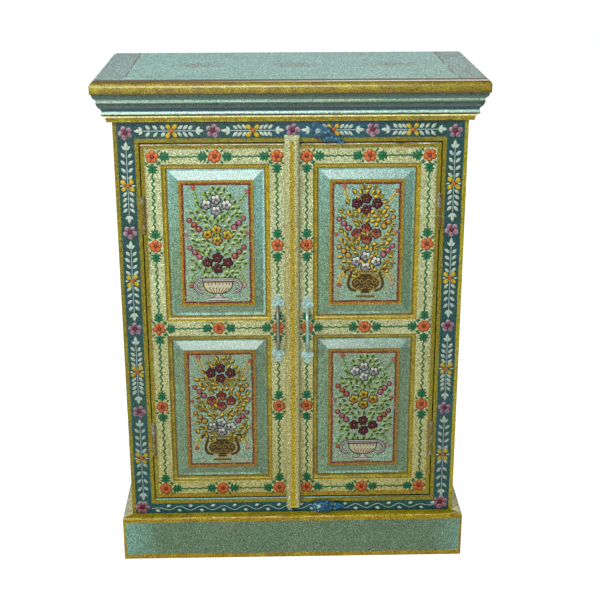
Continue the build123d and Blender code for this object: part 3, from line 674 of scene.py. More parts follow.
# X of the painted highlight down each handle's bar
left_bar_highlight, right_bar_highlight = -17.2, 18.4
finishes = {
    "blue_frame_paint": frame_pattern,
    "cream_door_paint": door_pattern,
    "cream_strip_paint": strip_pattern,
    "upper_bead_gold": bead_pattern("upper"),
    "lower_bead_gold": bead_pattern("lower"),
    "upper_panel_teal": panel_pattern("upper"),
    "lower_panel_teal": panel_pattern("lower"),
    "cornice_paint": cornice_pattern,
    "plinth_paint": plinth_pattern,
    "plinth_side_paint": plinth_side_pattern,
    "top_paint": top_pattern,
    "side_paint": side_pattern,
    "bare_mango_wood": inside_pattern,
    "gold_painted_hinge": hinge_pattern,
    "blue_painted_latch": latch_pattern,
    "mint_handle_dark_bar": handle_pattern(IRON, IRON_HIGHLIGHT, left_bar_highlight),
    "mint_handle_mint_bar": handle_pattern(MINT_BAR, MINT_GREY, right_bar_highlight),
    "dull_steel": steel_pattern,
}
# hands keep the handles smooth, so their paint has little speckle and more gloss
much_handled = {"speckle": 0.4, "roughness": 0.28, "gloss": 0.8}
finishes = {
    name: varnished_paint(name, pattern, **(much_handled if name.startswith("mint_handle") else {}))
    for name, pattern in finishes.items()
}


def finish_of(node):
    """The finish that a solid of the cabinet takes."""
    if node.startswith("frame_stile") or node.startswith("frame_rail"):
        return "blue_frame_paint"
    if node.endswith(("_stile", "_rail")):
        return "cream_door_paint"
    if node.endswith("_beads"):
        return "upper_bead_gold" if "upper" in node else "lower_bead_gold"
    if node.endswith("_panel") and "door" in node:
        return "upper_panel_teal" if "upper" in node else "lower_panel_teal"
    if node.startswith("cornice"):
        return "cornice_paint"
    if node == "plinth_front":
        return "plinth_paint"
    if node.startswith("plinth"):
        return "plinth_side_paint"
    if node == "top_board":
        return "top_paint"
    if node.startswith("side_board"):
        return "side_paint"
    if node == "cover_strip":
        return "cream_strip_paint"
    if node.endswith("_leaf"):
        return "gold_painted_hinge"
    if node in ("latch_top", "latch_bottom"):
        return "blue_painted_latch"
    if node == "left_handle":
        return "mint_handle_dark_bar"
    if node == "right_handle":
        return "mint_handle_mint_bar"
    if node.endswith(("_pin", "_screws", "_nails")):
        return "dull_steel"
    return "bare_mango_wood"


for name, node in nodes.items():
    node.data.materials.clear()
    node.data.materials.append(finishes[finish_of(name)])


# ---------------------------------------------------------------- brushwork
def node_tree(name, given, made):
    """A geometry node tree with named inputs, each with its kind of socket, and one output."""
    tree = bpy.data.node_groups.new(name, "GeometryNodeTree")
    for socket, kind in given.items():
        tree.interface.new_socket(socket, in_out="INPUT", socket_type="NodeSocket" + kind)
    tree.interface.new_socket(made, in_out="OUTPUT", socket_type="NodeSocketGeometry")
    return tree, add(tree, "NodeGroupInput").outputs


def dab_tree():
    """Node tree that lays one low, closed dab of paint on each point, turned and stretched as it says."""
    sockets = {"Points": "Geometry", "Corners": "Int", "Relief": "Float"}
    sockets.update({"Root Taper": "Float", "Tip Taper": "Float", "Paint": "Material"})
    tree, given = node_tree("dabs_of_paint", sockets, "Dabs")

    # a cone of two rings, whose plan is reshaped from a disc to a leaf or a petal along X
    cone = {"Vertices": given["Corners"], "Side Segments": 2, "Depth": 1.0}
    cone.update({"Radius Top": 0.0, "Radius Bottom": 1.0})
    cone = add(tree, "GeometryNodeMeshCone", cone, fill_type="NGON")
    disc = add(tree, "ShaderNodeSeparateXYZ", {0: add(tree, "GeometryNodeInputPosition")}).outputs
    nearly_nought = 0.0001
    tip_share = add(tree, "ShaderNodeMath", {0: disc["X"], 1: 0.5, 2: 0.5}, operation="MULTIPLY_ADD")
    tip_share = add(tree, "ShaderNodeMath", {0: tip_share, 1: nearly_nought}, operation="MAXIMUM")
    root_share = add(tree, "ShaderNodeMath", {0: 1.0, 1: tip_share}, operation="SUBTRACT")
    root_share = add(tree, "ShaderNodeMath", {0: root_share, 1: nearly_nought}, operation="MAXIMUM")
    narrow_root = add(tree, "ShaderNodeMath", {0: tip_share, 1: given["Root Taper"]}, operation="POWER")
    narrow_tip = add(tree, "ShaderNodeMath", {0: root_share, 1: given["Tip Taper"]}, operation="POWER")
    side = add(tree, "ShaderNodeMath", {0: disc["Y"], 1: narrow_root}, operation="MULTIPLY")
    side = add(tree, "ShaderNodeMath", {0: side, 1: narrow_tip}, operation="MULTIPLY")
    tapers = add(tree, "ShaderNodeMath", {0: given["Root Taper"], 1: given["Tip Taper"]}, operation="ADD")
    fullness = add(tree, "ShaderNodeMath", {0: 2.0, 1: tapers}, operation="POWER")
    side = add(tree, "ShaderNodeMath", {0: side, 1: fullness}, operation="MULTIPLY")
    side = add(tree, "ShaderNodeMath", {0: side, 1: 0.5}, operation="MULTIPLY")
    dome = add(tree, "ShaderNodeMath", {0: 2.0, 1: disc["Z"]}, operation="SUBTRACT")
    dome = add(tree, "ShaderNodeMath", {0: dome, 1: disc["Z"]}, operation="MULTIPLY")
    height = add(tree, "ShaderNodeMath", {0: dome, 1: given["Relief"]}, operation="MULTIPLY")
    place = add(tree, "ShaderNodeCombineXYZ", {0: tip_share, 1: side, 2: height})
    shaped = add(tree, "GeometryNodeSetPosition", {"Geometry": cone, "Position": place})
    turn = {"Name": "turn"}
    turn = add(tree, "GeometryNodeInputNamedAttribute", turn, data_type="FLOAT_VECTOR")
    stretch = {"Name": "stretch"}
    stretch = add(tree, "GeometryNodeInputNamedAttribute", stretch, data_type="FLOAT_VECTOR")
    laid = {"Points": given["Points"], "Instance": shaped, "Scale": stretch}
    laid["Rotation"] = add(tree, "FunctionNodeEulerToRotation", {0: turn})
    laid = add(tree, "GeometryNodeInstanceOnPoints", laid)
    real = add(tree, "GeometryNodeRealizeInstances", {"Geometry": laid})
    smooth = add(tree, "GeometryNodeSetShadeSmooth", {"Geometry": real, "Shade Smooth": True})
    painted = add(tree, "GeometryNodeSetMaterial", {"Geometry": smooth, "Material": given["Paint"]})
    add(tree, "NodeGroupOutput", {0: painted})
    return tree


def line_tree():
    """Node tree that draws a low brush line along a row of joined points."""
    sockets = {"Path": "Geometry", "Line Width": "Float", "Relief": "Float", "Paint": "Material"}
    tree, given = node_tree("brush_lines", sockets, "Lines")
    path = add(tree, "GeometryNodeMeshToCurve", {"Mesh": given["Path"]})
    path = add(tree, "GeometryNodeSetCurveNormal", {"Curve": path}, mode="Z_UP")
    bristles = add(tree, "GeometryNodeCurvePrimitiveCircle", {"Resolution": 6, "Radius": 1.0})
    half = add(tree, "ShaderNodeMath", {0: given["Line Width"], 1: 0.5}, operation="MULTIPLY")
    section = add(tree, "ShaderNodeCombineXYZ", {0: half, 1: given["Relief"], 2: 1.0})
    flat = add(tree, "GeometryNodeTransform", {"Geometry": bristles, "Scale": section})
    drawn = {"Curve": path, "Profile Curve": flat, "Fill Caps": True}
    drawn = add(tree, "GeometryNodeCurveToMesh", drawn)
    real = add(tree, "GeometryNodeRealizeInstances", {"Geometry": drawn})
    smooth = add(tree, "GeometryNodeSetShadeSmooth", {"Geometry": real, "Shade Smooth": True})
    painted = add(tree, "GeometryNodeSetMaterial", {"Geometry": smooth, "Material": given["Paint"]})
    add(tree, "NodeGroupOutput", {0: painted})
    return tree


DABS, LINES = dab_tree(), line_tree()

# how far each layer of paint lies over the one before
LAYER = 0.09
# a filled shape is a film that rises so far over its layer, with its foot a little behind the face
FILM_THICKNESS, FILM_FOOT = 0.1, -0.04
# dabs by the brush that lays them: corners of the rim, and how much each end is drawn in
BRUSHES = {
    "dot": {"Corners": 12, "Root Taper": 0.0, "Tip Taper": 0.0},
    "petal": {"Corners": 12, "Root Taper": 0.45, "Tip Taper": 0.0},
    "leaf": {"Corners": 10, "Root Taper": 0.15, "Tip Taper": 0.5},
    "lens": {"Corners": 10, "Root Taper": 0.45, "Tip Taper": 0.45},
}


def grown(source, tree, values):
    """The plain mesh that a node tree makes from a source mesh with the given inputs."""
    holder = bpy.data.objects.new("holder", source)
    bpy.context.scene.collection.objects.link(holder)
    modifier = holder.modifiers.new("grow", "NODES")
    modifier.node_group = tree
    for item in tree.interface.items_tree:
        if item.in_out == "INPUT" and item.name in values:
            modifier[item.identifier] = values[item.name]
    bpy.context.view_layer.update()
    evaluated = holder.evaluated_get(bpy.context.evaluated_depsgraph_get())
    made = bpy.data.meshes.new_from_object(evaluated)
    bpy.data.objects.remove(holder)
    bpy.data.meshes.remove(source)
    return made


def front_face(depth):
    """Places a drawing, X across and Y up, on an upright face at a depth."""
    return Matrix.Translation((0, depth * MM, 0)) @ Matrix.Rotation(math.pi / 2, 4, "X")


def dab_mesh(paint, brush, relief, dabs):
    """The dabs of one paint and brush, each with its place, angle, reach, breadth and layer."""
    points = bpy.data.meshes.new("points")
    points.from_pydata([(x * MM, y * MM, layer * LAYER * MM) for x, y, _, _, _, layer in dabs], [], [])
    turns = points.attributes.new("turn", "FLOAT_VECTOR", "POINT")
    turns.data.foreach_set("vector", [v for _, _, angle, _, _, _ in dabs for v in (0.0, 0.0, angle)])
    sizes = points.attributes.new("stretch", "FLOAT_VECTOR", "POINT")
    stretches = [(reach * MM, breadth * MM, 1.0) for _, _, _, reach, breadth, _ in dabs]
    sizes.data.foreach_set("vector", [v for stretch in stretches for v in stretch])
    return grown(points, DABS, {**BRUSHES[brush], "Relief": relief * MM, "Paint": paints[paint]})


def line_mesh(paint, width, layer, relief, lines):
    """The lines of one paint, width and layer."""
    corners, edges = [], []
    for points in lines:
        edges += [(len(corners) + i, len(corners) + i + 1) for i in range(len(points) - 1)]
        corners += [(x * MM, y * MM, layer * LAYER * MM) for x, y in points]
    path = bpy.data.meshes.new("path")
    path.from_pydata(corners, edges, [])
    sizes = {"Line Width": width * MM, "Relief": relief * MM, "Paint": paints[paint]}
    return grown(path, LINES, sizes)


def film_mesh(paint, layer, outlines):
    """Closed shapes filled with one paint, each a thin film with its foot below the face."""
    film = bmesh.new()
    top = layer * LAYER + FILM_THICKNESS
    for outline in outlines:
        rim = [film.verts.new((x * MM, y * MM, top * MM)) for x, y in outline]
        foot = [film.verts.new((x * MM, y * MM, FILM_FOOT * MM)) for x, y in outline]
        film.faces.new(rim)
        film.faces.new(foot)
        for i in range(len(outline)):
            film.faces.new((rim[i - 1], rim[i], foot[i], foot[i - 1]))
    bmesh.ops.triangulate(film, faces=film.faces)
    bmesh.ops.recalc_face_normals(film, faces=film.faces)
    mesh = bpy.data.meshes.new("film")
    film.to_mesh(mesh)
    film.free()
    mesh.materials.append(paints[paint])
    return mesh


class Drawing:
    """Brushwork on one flat face: dabs, lines and filled shapes, kept in millimetres until it is laid."""

    def __init__(self):
        self.dabs, self.lines, self.shapes = {}, {}, {}

    def dab(self, paint, brush, at, angle, reach, breadth, layer=0, relief=0.16):
        self.dabs.setdefault((paint, brush, relief), []).append((*at, angle, reach, breadth, layer))

    def line(self, paint, width, points, layer=0, relief=0.14):
        self.lines.setdefault((paint, width, layer, relief), []).append(points)

    def shape(self, paint, outline, layer=0):
        self.shapes.setdefault((paint, layer), []).append(outline)

    def dot(self, paint, at, size, layer=0, relief=0.16):
        """A round spot centred on a place."""
        self.dab(paint, "dot", (at[0] - size / 2, at[1]), 0.0, size, size, layer, relief)

    def meshes(self):
        """One mesh for each paint and brush."""
        made = [dab_mesh(*brush, dabs) for brush, dabs in self.dabs.items()]
        made += [line_mesh(*brush, lines) for brush, lines in self.lines.items()]
        return made + [film_mesh(*brush, outlines) for brush, outlines in self.shapes.items()]


def joined(name, meshes, place):
    """One object from several meshes, each with its own paint, moved to where it belongs."""
    whole, used = bmesh.new(), []
    for mesh in meshes:
        before = len(whole.faces)
        whole.from_mesh(mesh)
        whole.faces.ensure_lookup_table()
        for face in whole.faces[before:]:
            face.material_index = len(used)
        used.append(next(paint for paint in mesh.materials if paint))
        bpy.data.meshes.remove(mesh)
    whole.transform(place)
    mesh = bpy.data.meshes.new(name)
    whole.to_mesh(mesh)
    whole.free()
    for paint in used:
        mesh.materials.append(paint)
    piece = bpy.data.objects.new(name, mesh)
    bpy.context.scene.collection.objects.link(piece)
    return piece


def lay(drawing, name, body, place):
    """Lays a drawing on its face as one piece that moves with a body."""
    piece = joined(name, drawing.meshes(), place)
    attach(piece, body)
    return piece


# ---------------------------------------------------------------- the painted motifs
chance = random.Random(7)


def about(value, share=0.08):
    """A size as a hand repeats it, a little more or less."""
    return value * (1 + chance.uniform(-share, share))


def step(at, angle, length):
    """The place a length away in a direction."""
    return at[0] + length * math.cos(angle), at[1] + length * math.sin(angle)


def round_flower(drawing, at, petal_paint, rim_paint, heart_paint, size, petals=5):
    """Round petals about a dark heart, each with a paler rim."""
    start = chance.uniform(0, math.tau)
    petal = size * 0.34
    for i in range(petals):
        angle = start + i * math.tau / petals + chance.uniform(-0.07, 0.07)
        middle = step(at, angle, size * 0.5 - petal / 2)
        drawing.dot(rim_paint, middle, about(petal * 1.16), 0)
        drawing.dot(petal_paint, step(middle, angle + math.pi, 0.4), about(petal * 0.74), 1)
    drawing.dot(heart_paint, at, size * 0.3, 2)


def cross_flower(drawing, at):
    """Four broad yellow petals in a saltire about an orange heart."""
    for i in range(4):
        angle = math.pi / 4 + i * math.pi / 2 + chance.uniform(-0.15, 0.15)
        drawing.dab("petal_marigold", "petal", step(at, angle, 1.2), angle, about(8.8), about(5.6), 0)
        drawing.dab("petal_amber", "lens", step(at, angle, 2.6), angle, 3.6, 1.6, 1)
    drawing.dot("petal_orange", at, 5.0, 2)


def tulip(drawing, at, angle):
    """A pale bud of three lobes on the end of a stem."""
    drawing.dab("leaf_white", "lens", step(at, angle, -1.0), angle, about(12.0, 0.05), 5.0, 0)
    for turn in (-0.75, 0.75):
        drawing.dab("leaf_white", "lens", at, angle + turn, about(7.4), 3.4, 0)
    drawing.dab("leaf_vein", "lens", step(at, angle, 1.0), angle, 6.0, 1.4, 1)


def leaf_spray(drawing, at, angle, length, pairs):
    """A thin stem that grows away from a flower between pairs of slanting leaves, to a tulip."""
    tulip_reach, first, last = 11.0, 7.0, length - 19.5
    end = step(at, angle, length - tulip_reach)
    drawing.line("stem_white", 0.8, [step(at, angle, 2.5), end])
    tulip(drawing, end, angle)
    for i in range(pairs):
        root = step(at, angle, first + (last - first) * i / (pairs - 1))
        for side in (-1, 1):
            foot = step(root, angle + side * math.pi / 2, 1.2)
            turn = angle + side * about(0.78, 0.12)
            drawing.dab("leaf_white", "lens", foot, turn, about(8.2), about(4.2), 0)
            drawing.dab("leaf_vein", "lens", step(foot, turn, 2.0), turn, 4.4, 1.2, 1)


def palmette(drawing, at, angle):
    """A dark green leaf, round towards its flower and barbed behind. Its stalk is at the place given."""
    drawing.dab("leaf_green", "leaf", step(at, angle, 1.6), angle, about(12.0, 0.04), 8.2, 0)
    for along, turn, reach in ((10.2, 1.75, 6.6), (7.4, 1.95, 7.0), (4.4, 2.15, 5.2)):
        for side in (-1, 1):
            root = step(at, angle, along)
            slant = angle + side * about(turn, 0.08)
            drawing.dab("leaf_green", "lens", root, slant, about(reach), 3.0, 0)
    drawing.dab("leaf_shade", "lens", step(at, angle, 3.4), angle, 7.6, 1.8, 1)


def waving_line(start, end, wave, height):
    """Points of a line that sways from side to side between two places."""
    run = math.dist(start, end)
    angle = math.atan2(end[1] - start[1], end[0] - start[0])
    count = max(8, round(run / wave * 8))
    points = []
    for i in range(count + 1):
        along = run * i / count
        sway = height * math.sin(math.tau * along / wave) * min(1.0, along / wave, (run - along) / wave)
        sway += chance.uniform(-0.12, 0.12)
        points.append(step(step(start, angle, along), angle + math.pi / 2, sway))
    return points


def vine_between(drawing, first, second, waver=1.3):
    """From flower to flower: two small leaves, a palmette, a wavy stem, and the same again."""
    angle = math.atan2(second[1] - first[1], second[0] - first[0])
    run = math.dist(first, second)
    stalk = 21.0
    for centre, way in ((first, angle), (second, angle + math.pi)):
        palmette(drawing, step(centre, way, stalk), way + math.pi)
        for side in (-1, 1):
            turn = way + side * 0.62
            root = step(centre, turn, 8.0)
            drawing.dab("leaf_green", "lens", root, turn + side * 0.25, about(5.2), 2.7, 0)
    start, end = step(first, angle, stalk - 3), step(first, angle, run - stalk + 3)
    drawing.line("vine_green", 1.9, waving_line(start, end, about(8.6, 0.15), waver))


def orange_flower(drawing, at):
    """Five or six orange petals about a dark red heart with a pink eye."""
    petals = chance.choice((5, 5, 6))
    start = chance.uniform(0, math.tau)
    for i in range(petals):
        angle = start + i * math.tau / petals
        root = step(at, angle, 0.6)
        drawing.dab("petal_orange", "petal", root, angle, about(7.4, 0.05), about(6.6, 0.05), 0)
        drawing.dab("petal_light_orange", "lens", step(at, angle, 3.6), angle, 2.6, 2.0, 1)
    drawing.dot("heart_dark_red", at, 5.0, 2)
    drawing.dot("petal_rose", step(at, 0.6, 0.4), 2.2, 3)


def frame_drawing():
    """Blue frame: flowers pink and yellow by turns, with leaf sprays from each yellow one to its neighbours,
    and a white vine with little leaves along the sill."""
    drawing = Drawing()
    pink_heights, yellow_heights = (549, 431, 310, 201, 68), (487, 371, 254, 137)
    pink_places, yellow_places = (-189, -89, 2, 94, 189), (-136.5, -43.5, 48.5, 140)
    rail, pink_size, corner_size = 551.0, 16.5, 19.0
    # how far short of the middle of a pink flower a spray stops
    stile_gap, rail_gap = 9.5, 9.0
    up, down, right, left = math.pi / 2, -math.pi / 2, 0.0, math.pi
    low_corners = ((-190.8, 67.6), (188.2, 69.8))
    for x, z in low_corners:
        round_flower(drawing, (x, z), "petal_rose", "petal_pale_pink", "heart_red", corner_size, 6)
    for x in (-189.0, 189.0):
        for z in pink_heights[:-1]:
            round_flower(drawing, (x, z), "petal_pink", "petal_pale_pink", "heart_red", pink_size)
        for i, z in enumerate(yellow_heights):
            leaf_spray(drawing, (x, z), up, pink_heights[i] - z - stile_gap, 4)
            leaf_spray(drawing, (x, z), down, z - pink_heights[i + 1] - stile_gap, 4)
            cross_flower(drawing, (x, z))
            for way in (-1, 1):
                turn = right if way > 0 else left
                drawing.dab("leaf_white", "lens", (x + way * 4.2, z), turn, 5.0, 2.4, 0)
    for x in pink_places[1:-1]:
        round_flower(drawing, (x, rail), "petal_pink", "petal_pale_pink", "heart_red", pink_size)
    for i, x in enumerate(yellow_places):
        leaf_spray(drawing, (x, rail), left, x - pink_places[i] - rail_gap, 3)
        leaf_spray(drawing, (x, rail), right, pink_places[i + 1] - x - rail_gap, 3)
        cross_flower(drawing, (x, rail))
    sill, sill_half, wave, sway = 66.0, 179.0, 28.0, 3.0
    vine = waving_line((-sill_half, sill), (sill_half, sill), wave, sway)
    drawing.line("stem_white", 1.0, vine)
    for i in range(round(4 * sill_half / wave)):
        x = -sill_half + (i + 0.5) * wave / 2
        side = 1 if i % 2 else -1
        root = (x - 2.6, sill + side * 2.2)
        drawing.dab("leaf_pale_green", "lens", root, 0.35 * side, about(6.4), about(4.2), 0)
    return drawing


def door_drawing(columns, middles):
    """Cream door: orange flowers down both stiles and along the three rails, joined by green vines."""
    drawing = Drawing()
    rows = (521.0, 414.0, 310.0, 207.0, 94.0)
    for x in columns:
        for high, low in zip(rows, rows[1:]):
            vine_between(drawing, (x, high), (x, low))
        for z in rows:
            orange_flower(drawing, (x, z))
    for z, middle in zip(rows[::2], middles):
        orange_flower(drawing, (middle, z))
        for x in columns:
            vine_between(drawing, (x, z), (middle, z), 0.7)
    return drawing


def small_flower(drawing, at, petal_paint, lower_paint, outline, heart):
    """A picture's flower: round petals that touch, each with a dark rim, the lower ones a second colour."""
    size = 12.6
    start = chance.uniform(0, math.tau)
    for i in range(5):
        angle = start + i * math.tau / 5
        middle = step(at, angle, size * 0.28)
        drawing.dot(outline, middle, size * 0.54, 0)
        paint = lower_paint if math.sin(angle) < -0.1 else petal_paint
        drawing.dot(paint, middle, about(size * 0.38), 1)
    drawing.dot(outline, at, size * 0.24, 2)
    drawing.dot(heart, at, size * 0.14, 3)


def bud(drawing, at, paint, outline, size):
    """A round bud with a dark outline and a light spot."""
    drawing.dot(outline, at, size, 0)
    drawing.dot(paint, at, size * 0.8, 1)
    drawing.dot("petal_pale_pink", step(at, 2.2, size * 0.14), size * 0.2, 2)


def oval_leaf(drawing, at, angle, edge, paint, shade):
    """A small oval leaf with a broad edge of its own colour and a dark touch off its middle."""
    drawing.dab(edge, "lens", step(at, angle, -1.0), angle, about(8.6), about(6.4), 0)
    drawing.dab(paint, "lens", at, angle, about(6.4), about(3.9), 1)
    root = step(step(at, angle, about(0.8, 0.5)), angle - math.pi / 2, chance.choice((-0.7, 0.2, 0.9)))
    drawing.dab(shade, "lens", root, angle + chance.uniform(-0.5, 0.5), about(5.0), about(2.6), 2)


def sprig(drawing, root, angle, bend, paint, shade, bud_paint):
    """A short stem with little leaves that ends in a drop-shaped bud."""
    points, turn, at = [root], angle, root
    for i in range(6):
        at = step(at, turn, 2.7)
        turn += bend
        points.append(at)
        side = 1 if i % 2 else -1
        drawing.dab(paint, "lens", at, turn + side * 0.7, about(4.4), about(2.6), 0)
    drawing.line(shade, 0.6, points)
    drawing.dab(bud_paint, "petal", at, turn, about(6.4), about(5.4), 1)


def cloud_half_width(height):
    """How far the leaves of a bouquet reach from its middle at a height above the picture's foot."""
    heights = (31, 38, 50, 102, 112, 122, 132, 141)
    widths = (22, 29, 35.5, 35.5, 31, 25, 19, 9)
    for i in range(len(heights) - 1):
        if heights[i] <= height <= heights[i + 1]:
            share = (height - heights[i]) / (heights[i + 1] - heights[i])
            return widths[i] + share * (widths[i + 1] - widths[i])
    return 0.0


def bouquet(drawing, middle, foot, stretch, groups, swags, leaf_edge, leaf_paint, leaf_shade, drops):
    """Three groups of four flowers one above another, four swags of buds, stems, a sprig at each corner, and
    a cloud of leaves about them."""

    def place(u, w):
        return middle + u, foot + w * stretch

    taken = []
    for (petal, lower, outline, heart), height in zip(groups, (119.5, 83.0, 48.5)):
        for u, w in ((0.0, 6.6), (-11.2, 0.6), (12.2, 0.2), (0.4, -6.8)):
            at = place(u + chance.uniform(-0.4, 0.4), height + w)
            small_flower(drawing, at, petal, lower, outline, heart)
            taken.append((u, height + w, 7.0))
    for paint, side, height in zip(swags, (-1, 1, -1, 1), (90.5, 92.5, 56.5, 57.0)):
        for i, size in enumerate((8.4, 7.8, 6.8)):
            u, w = side * (20.8 + 5.4 * i), height + 5.4 * i
            bud(drawing, place(u, w), paint, "outline_maroon", size)
            taken.append((u, w, 5.2))
    for low, high in ((28, 40), (56, 76), (91, 112)):
        drawing.line(leaf_shade, 0.7, [place(0.3, low), place(-0.3, (low + high) / 2), place(0.2, high)])
    corners = ((-20, 122, 1.95, -0.02), (24, 120, 0.75, 0.05), (-23, 37, 3.75, 0.16), (23, 37, -0.6, -0.16))
    for (u, w, angle, bend), drop in zip(corners, drops):
        sprig(drawing, place(u, w), angle, bend, leaf_paint, leaf_shade, drop)
    for u, w, drop in ((-35.2, 80, drops[1]), (35.0, 82, drops[0])):
        drawing.dab(drop, "petal", place(u, w), math.pi / 2, 5.4, 4.6, 0)
    rows, row_height, leaf_spacing = 20, 5.7, 7.2
    for row in range(rows):
        w = 31 + row * row_height
        reach = cloud_half_width(w)
        across = max(1, int(reach / leaf_spacing))
        for i in range(-across, across + 1):
            u = (i + (0.5 if row % 2 else 0.0)) * leaf_spacing + chance.uniform(-1.2, 1.2)
            v = w + chance.uniform(-1.0, 1.0)
            if abs(u) > reach or any(math.dist((u, v), (a, b)) < gap for a, b, gap in taken):
                continue
            turn = math.atan2(11.0, u) + chance.uniform(-0.8, 0.8)
            oval_leaf(drawing, step(place(u, v), turn, -3.4), turn, leaf_edge, leaf_paint, leaf_shade)


def curve_through(points, per_span=6):
    """A smooth row of points through the given ones."""

    def between(a, b, c, d, t):
        bend = 2 * a - 5 * b + 4 * c - d
        twist = 3 * b - a - 3 * c + d
        return 0.5 * (2 * b + (c - a) * t + bend * t * t + twist * t**3)

    smooth = []
    for i in range(len(points) - 1):
        a, b = points[max(i - 1, 0)], points[i]
        c, d = points[i + 1], points[min(i + 2, len(points) - 1)]
        for j in range(per_span):
            t = j / per_span
            smooth.append(tuple(between(a[k], b[k], c[k], d[k], t) for k in (0, 1)))
    return smooth + [points[-1]]


def mirrored(points):
    """The same points on the other hand of the middle."""
    return [(-u, w) for u, w in points]


def rectangle(half, low, high):
    """Corners of an upright rectangle about the middle."""
    return [(-half, high), (-half, low), (half, low), (half, high)]


def white_urn(drawing, place):
    """A low two-handled urn on a foot, with a ribbed bowl, outlined in dark plum."""

    def loop(side, grow):
        turns = [-0.35 + i * 0.36 for i in range(11)]
        wide, tall = 8.6 + grow, 7.6 + grow
        return [(side * (18.6 + wide * math.sin(a)), 19.6 + tall * math.cos(a)) for a in turns]

    for side in (1, -1):
        drawing.line("urn_pink_white", 4.0, place(loop(side, 0.0)), 0)
        for grow in (-1.9, 0.2, 1.9):
            drawing.line("outline_plum", 1.0, place(loop(side, grow)), 1)
    rim_edge = [(-18.8, 29.8), (-18.4, 24.0), (18.4, 24.0), (18.8, 29.8)]
    rim = [(-18.0, 29.0), (-17.7, 25.4), (17.7, 25.4), (18.0, 29.0)]
    drawing.shape("outline_plum", place(rim_edge), 1)
    drawing.shape("urn_pink_white", place(rim), 2)
    for height in (25.2, 27.2, 29.6):
        drawing.line("outline_plum", 1.0, place([(-18.2, height), (18.2, height + 0.1)]), 3)
    bowl = curve_through([(-17.4, 24.6), (-16.4, 18.0), (-11.5, 12.6), (-4.2, 10.2)])
    bowl += mirrored(bowl)[::-1]
    drawing.shape("urn_cream", place(bowl), 1)
    drawing.line("outline_plum", 1.3, place(bowl), 2)
    for share in (-0.72, -0.46, -0.2, 0.06, 0.32, 0.58, 0.8):
        rib = [(16.4 * share, 24.0), (16.0 * share + 1.2, 17.5), (9.0 * share, 11.2)]
        drawing.line("outline_plum", 0.85, place(curve_through(rib, 4)), 2)
        (gleam,) = place([(16.6 * share + 1.6, 22.6)])
        drawing.dab("urn_white", "lens", gleam, -1.75, 7.0, 2.6, 2)
    stem = [(3.6, 10.4), (2.6, 7.6), (8.0, 4.6)]
    drawing.shape("urn_pink_white", place(mirrored(stem) + stem[::-1]), 1)
    for half in (stem, mirrored(stem)):
        drawing.line("outline_plum", 1.0, place(half), 2)
    drawing.shape("urn_white", place(rectangle(11.8, 1.8, 4.2)), 1)
    drawing.line("outline_plum", 1.0, place([(-11.8, 4.4), (11.8, 4.4)]), 2)
    drawing.line("outline_plum", 0.9, place([(-11.8, 1.6), (11.8, 1.6)]), 2)


def gold_vase(drawing, place):
    """A round brown vase covered in gold scrolls, with curled handles and a banded neck and foot."""
    belly_height = 21.5

    def oval(half_width, half_height, angles):
        return [(half_width * math.cos(a), belly_height + half_height * math.sin(a)) for a in angles]

    handle = [(11.0, 11.8), (17.6, 14.2), (20.6, 20.0), (19.4, 27.0), (17.2, 33.0), (18.4, 38.0)]
    handle += [(22.6, 38.4), (25.4, 34.2)]
    for points in (handle, mirrored(handle)):
        drawing.line("vase_gold", 3.9, place(curve_through(points)), 0)
        drawing.line("vase_brown", 2.7, place(curve_through(points)), 1)
        (tip,) = place(points[-1:])
        drawing.dab("leaf_yellow", "lens", tip, -1.9, 4.6, 3.0, 1)
    rim_angles = [i * math.tau / 36 for i in range(36)]
    drawing.shape("vase_gold", place(oval(17.6, 10.6, rim_angles)), 2)
    drawing.shape("vase_brown", place(oval(16.4, 9.5, rim_angles)), 3)
    gold_edge = 0.6
    for half, low, high in ((7.4, 30.6, 33.4), (10.6, 34.6, 37.6), (5.4, 8.4, 12.0), (11.6, 3.2, 6.6)):
        drawing.shape("vase_gold", place(rectangle(half, low, high)), 2)
        drawing.shape("vase_brown", place(rectangle(half - gold_edge, low + gold_edge, high - gold_edge)), 3)
    for half, height in ((9.4, 35.2), (10.4, 4.0)):
        for touch in place([(-half + i * half / 3.4, height) for i in range(7)]):
            drawing.dab("vase_gold", "lens", touch, 0.9, 2.8, 1.3, 4)
    scrolls = ((-10.5, 22.5, 4.2, 1), (-4.0, 24.5, 3.8, -1), (3.4, 22.5, 4.4, 1), (10.2, 24.0, 3.8, -1))
    scrolls += ((-7.0, 16.5, 3.4, -1), (0.0, 16.5, 3.4, 1), (7.4, 17.0, 3.6, -1))
    for u, w, size, way in scrolls:
        curl = [(size * (1 - t / 16), way * t / 2) for t in range(15)]
        scroll = [(u + reach * math.cos(turn), w + reach * math.sin(turn)) for reach, turn in curl]
        drawing.line("vase_gold", 0.8, place(scroll), 4)
    angles = [i * math.tau / 12 + 0.2 for i in range(12)]
    for angle, touch in zip(angles, place(oval(14.6, 8.0, angles))):
        drawing.dab("vase_gold", "lens", touch, angle + 2.2, 2.6, 1.2, 4)


# a group's petals, lower petals, outline and heart
MAROON = ("petal_maroon", "petal_maroon", "outline_dark", "petal_yellow")
YELLOW = ("petal_yellow", "petal_amber", "outline_brown", "outline_brown")
WHITE = ("petal_white", "petal_lilac", "outline_dark", "petal_yellow")
RED = ("petal_red", "petal_brick", "outline_maroon", "petal_orange")
PINK_SWAG, RED_SWAG, GOLD_SWAG = "petal_rose", "petal_red_orange", "petal_honey"
# the height that a picture is set out in, before it is stretched to its field
picture_height = 143.5


